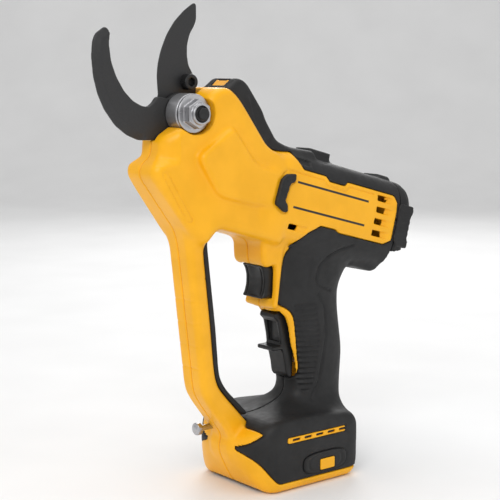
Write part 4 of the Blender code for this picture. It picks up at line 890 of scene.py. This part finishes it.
def pivot_block(reach, low, high, cell):
    return Block((PIVOT[0] - reach, low, PIVOT[1] - reach), (PIVOT[0] + reach, high, PIVOT[1] + reach), cell)


def make_sleeve():
    block = pivot_block(14.5, -15.0, -1.5, FINE)
    sleeve = round_plate(block, PIVOT, SLEEVE_RADIUS, -14.0, -2.3, 0.8)
    sleeve = carve(sleeve, round_plate(block, PIVOT, 5.2, -30.0, 30.0), 0.2)
    place("steel_sleeve", block, sleeve, "tool", "satin_steel", ["pivot_sleeve"])


def make_nut():
    block = pivot_block(14.5, -25.5, -13.4, TINY)
    nut = round_plate(block, PIVOT, 12.3, -16.3, -14.3, 0.5)
    taper = from_pivot(block) - 10.4 - 0.9 * (block.y + 21.3)
    crown = both(hexagon(block, PIVOT, 8.0, -22.0, -16.0, 0.3), taper, 0.4)
    nut = blend(nut, crown, 0.8)
    nut = blend(nut, round_plate(block, PIVOT, 6.7, -24.5, -21.5, 0.6), 0.6)
    nut = carve(nut, round_plate(block, PIVOT, PIVOT_BORE, -50.0, 0.0), 0.4)
    place("flange_nut", block, nut, "tool", "zinc_steel", ["pivot_nut"])


def make_bolt():
    block = pivot_block(10.5, -28.0, 20.0, FINE)
    turn = np.arctan2(block.z - PIVOT[1], block.x - PIVOT[0])
    thread = 0.22 * np.cos(2 * math.pi * (block.y / 1.5) + turn) * (block.y < -12.0)
    bolt = union(
        round_plate(block, PIVOT, 4.75, -24.4, 14.0, 0.5) + thread,
        round_plate(block, PIVOT, 3.9, -27.0, -22.0, 0.6),
        round_plate(block, PIVOT, 9.0, 13.0, 19.0, 0.9),
    )
    bolt = carve(bolt, hexagon(block, PIVOT, 4.0, 15.0, 30.0, 0.1), 0.3)
    place("main_bolt", block, bolt, "tool", "black_oxide", ["pivot_bolt"])


def make_trigger():
    block = Block((-1.5, -12.2, 124.5), (36.0, 12.2, 150.5), 0.5)
    trigger = slab(flat(block, TRIGGER_SIDE, 1.5), block.y, 11.0, 2.2)
    heights = within(block.z, TRIGGER_Z, 9.6)
    scoop = np.hypot(block.y, block.x + 9.5) - 13.2
    trigger = carve(trigger, np.maximum(scoop, heights), 1.5)
    line = within(np.abs(block.y), 7.2, 0.3)
    trigger = carve(trigger, overlap(line, block.x - 6.2, heights), 0.5)
    stem = np.hypot(block.y, block.z - TRIGGER_Z) - 3.0
    trigger = np.minimum(trigger, overlap(stem, 17.0 - block.x, block.x - 34.0))
    place("trigger_paddle", block, trigger, "trigger", "black_plastic", ["trigger"])


def make_lever():
    block = Block((11.5, -10.0, 66.5), (36.0, 10.0, 117.5), 0.5)
    lever = slab(flat(block, LEVER_SIDE, 1.2), block.y, 8.5, 1.2)
    face = np.maximum(np.abs(block.y) - 5.5, within(block.z, 101.0, 7.0))
    front = within(block.x, 21.0 + (98.0 - block.z) * 0.1, 1.6)
    lever = carve(lever, np.maximum(face, front), 1.0)
    lever = carve(lever, round_plate(block, LEVER_PIN, 2.2, -20.0, 20.0), 0.2)
    place("lockoff_paddle", block, lever, "lever", "black_plastic", ["lockoff_lever"])


def make_vent_strips():
    for side, word in SIDES:
        block = Block((0.0, 36.0, 32.0), (55.0, 39.5, 38.0), FINE)
        outline = both(within(block.x, STRIP_X, 25.7), within(block.z, STRIP_Z, 1.85), 1.4)
        strip = slab(outline, block.y - 37.6, 0.75, 0.3)
        for index in range(5):
            slot = both(within(block.x, 9.0 + 10.4 * index, 3.4), within(block.z, STRIP_Z, 0.9), 0.6)
            strip = carve(strip, np.maximum(slot, 37.2 - block.y), 0.3)
        place(f"{word}_vent_trim", block, strip, "tool", "yellow_plastic", [f"{word}_vent_strip"], side < 0)


def make_tag():
    block = Block((14.0, -39.6, 7.0), (55.5, -36.0, 24.0), FINE)
    area = tag_area(block)
    plate = slab(area, block.y + 37.8, 0.7, 0.6)
    plate = carve(plate, np.maximum(within(area, -1.6, 0.35), block.y + 38.2), 0.4)
    plate = carve(plate, np.maximum(badge_area(block) - 0.3, block.y + 37.9), 0.2)
    place("tag_plate", block, plate, "tool", "black_plastic", ["tag_cover"])
    block = Block((28.0, -39.6, 8.0), (45.0, -37.2, 19.0), 0.3)
    insert = slab(badge_area(block) + 0.1, block.y + 38.4, 0.45, 0.3)
    place("tag_badge", block, insert, "tool", "yellow_plastic", ["tag_insert"])


def make_window():
    block = Block((-30.5, -8.0, 262.5), (-18.5, 8.0, 273.5), 0.3)
    inner = slab(within(block.x, -24.6, 3.4), block.y, 4.8, 0.3)
    window = lens(block) + 0.25 * np.clip(-inner, 0.0, 1.0)
    place("light_window", block, window, "tool", "lens_amber", ["led_lens"])


def make_stud():
    block = Block((-42.5, 1.5, 35.5), (-21.0, 12.5, 46.5), FINE)
    turn = np.hypot(block.y - STUD[0], block.z - STUD[1])
    stud = np.maximum(turn - 2.0, within(block.x, -32.0, 9.5))
    flange = both(turn - 4.2, within(block.x, -39.2, 1.9), 0.8)
    place("strap_stud", block, blend(stud, flange, 0.8), "tool", "zinc_steel", ["lanyard_stud"])


def repaint():
    """The CAD pieces that stay get this scene's materials by their slot."""
    slots = {part["node"]: part["material_slot"] for part in frame["record"]["subparts"]}
    for name, piece in frame["nodes"].items():
        if piece.hide_render:
            continue
        for holder in piece.material_slots:
            holder.material = MATERIALS[slots[name]]


def make_floor():
    """A pale floor that curves up into a backdrop behind the object."""
    profile = [(-3.0, 0.0), (1.6, 0.0)]
    profile += [(1.6 + 0.8 * math.sin(a), 0.8 - 0.8 * math.cos(a)) for a in np.linspace(0.1, math.pi / 2, 16)]
    profile.append((2.4, 4.0))
    view = CAMERA_AIM - CAMERA_SPOT
    view = Vector((view.x, view.y, 0.0)).normalized()
    across = Vector((view.y, -view.x, 0.0))
    points = []
    for reach, rise in profile:
        for sign in (-1, 1):
            points.append(view * reach + across * (sign * 4.0) + Vector((0.0, 0.0, cad_low.z + rise)))
    faces = [(a, a + 1, a + 3, a + 2) for a in range(0, 2 * len(profile) - 2, 2)]
    mesh = bpy.data.meshes.new("studio_floor")
    mesh.from_pydata([tuple(p) for p in points], [], faces)
    for polygon in mesh.polygons:
        polygon.use_smooth = True
    material, nodes, links, shader = tree("pale_paper")
    shade = ramp(nodes, links, noise(nodes, links, 8.0), ((0.3, (0.86, 0.86, 0.86)), (0.7, (0.9, 0.9, 0.9))))
    links.new(shade, shader.inputs["Base Color"])
    shader.inputs["Roughness"].default_value = 0.8
    mesh.materials.append(material)
    floor = bpy.data.objects.new("studio_floor", mesh)
    bpy.context.scene.collection.objects.link(floor)
    return floor


def make_lights():
    """Soft square lights, each a name, a place, a size in metres and a power in watts."""
    lamps = (
        ("key", (-0.95, -0.75, 0.95), 0.7, 6.5),
        ("fill", (0.75, -1.1, 0.45), 0.9, 1.2),
        ("top", (0.0, 0.1, 1.3), 0.9, 5.0),
        ("rim", (0.9, 0.9, 0.8), 0.6, 5.0),
    )
    middle = Vector((-0.02, 0.0, 0.15))
    lights = []
    for name, spot, size, power in lamps:
        lamp = bpy.data.lights.new(name, "AREA")
        lamp.shape, lamp.size, lamp.energy = "SQUARE", size, power
        light = bpy.data.objects.new(name, lamp)
        light.location = spot
        light.rotation_euler = (middle - Vector(spot)).to_track_quat("-Z", "Y").to_euler()
        bpy.context.scene.collection.objects.link(light)
        lights.append(light)
    return lights


def make_world():
    world = bpy.data.worlds.new("studio")
    world.use_nodes = True
    background = world.node_tree.nodes["Background"]
    background.inputs["Color"].default_value = (1.0, 1.0, 1.0, 1.0)
    background.inputs["Strength"].default_value = 0.6
    bpy.context.scene.world = world
    bpy.context.scene.view_settings.view_transform = "Standard"


def make_camera():
    camera = bpy.data.cameras.new("camera")
    camera.lens, camera.sensor_width = CAMERA_LENS, 36.0
    camera.clip_start, camera.clip_end = 0.05, 20.0
    holder = bpy.data.objects.new("camera", camera)
    holder.location = CAMERA_SPOT
    holder.rotation_euler = (CAMERA_AIM - CAMERA_SPOT).to_track_quat("-Z", "Y").to_euler()
    bpy.context.scene.collection.objects.link(holder)
    bpy.context.scene.camera = holder


make_shells_and_covers()
make_top_cover()
make_end_cap()
make_bumpers()
make_liner()
make_hook()
make_blade()
make_blade_screw()
make_sleeve()
make_nut()
make_bolt()
make_trigger()
make_lever()
make_vent_strips()
make_tag()
make_window()
make_stud()
repaint()
make_floor()
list(make_lights())
make_world()
make_camera()
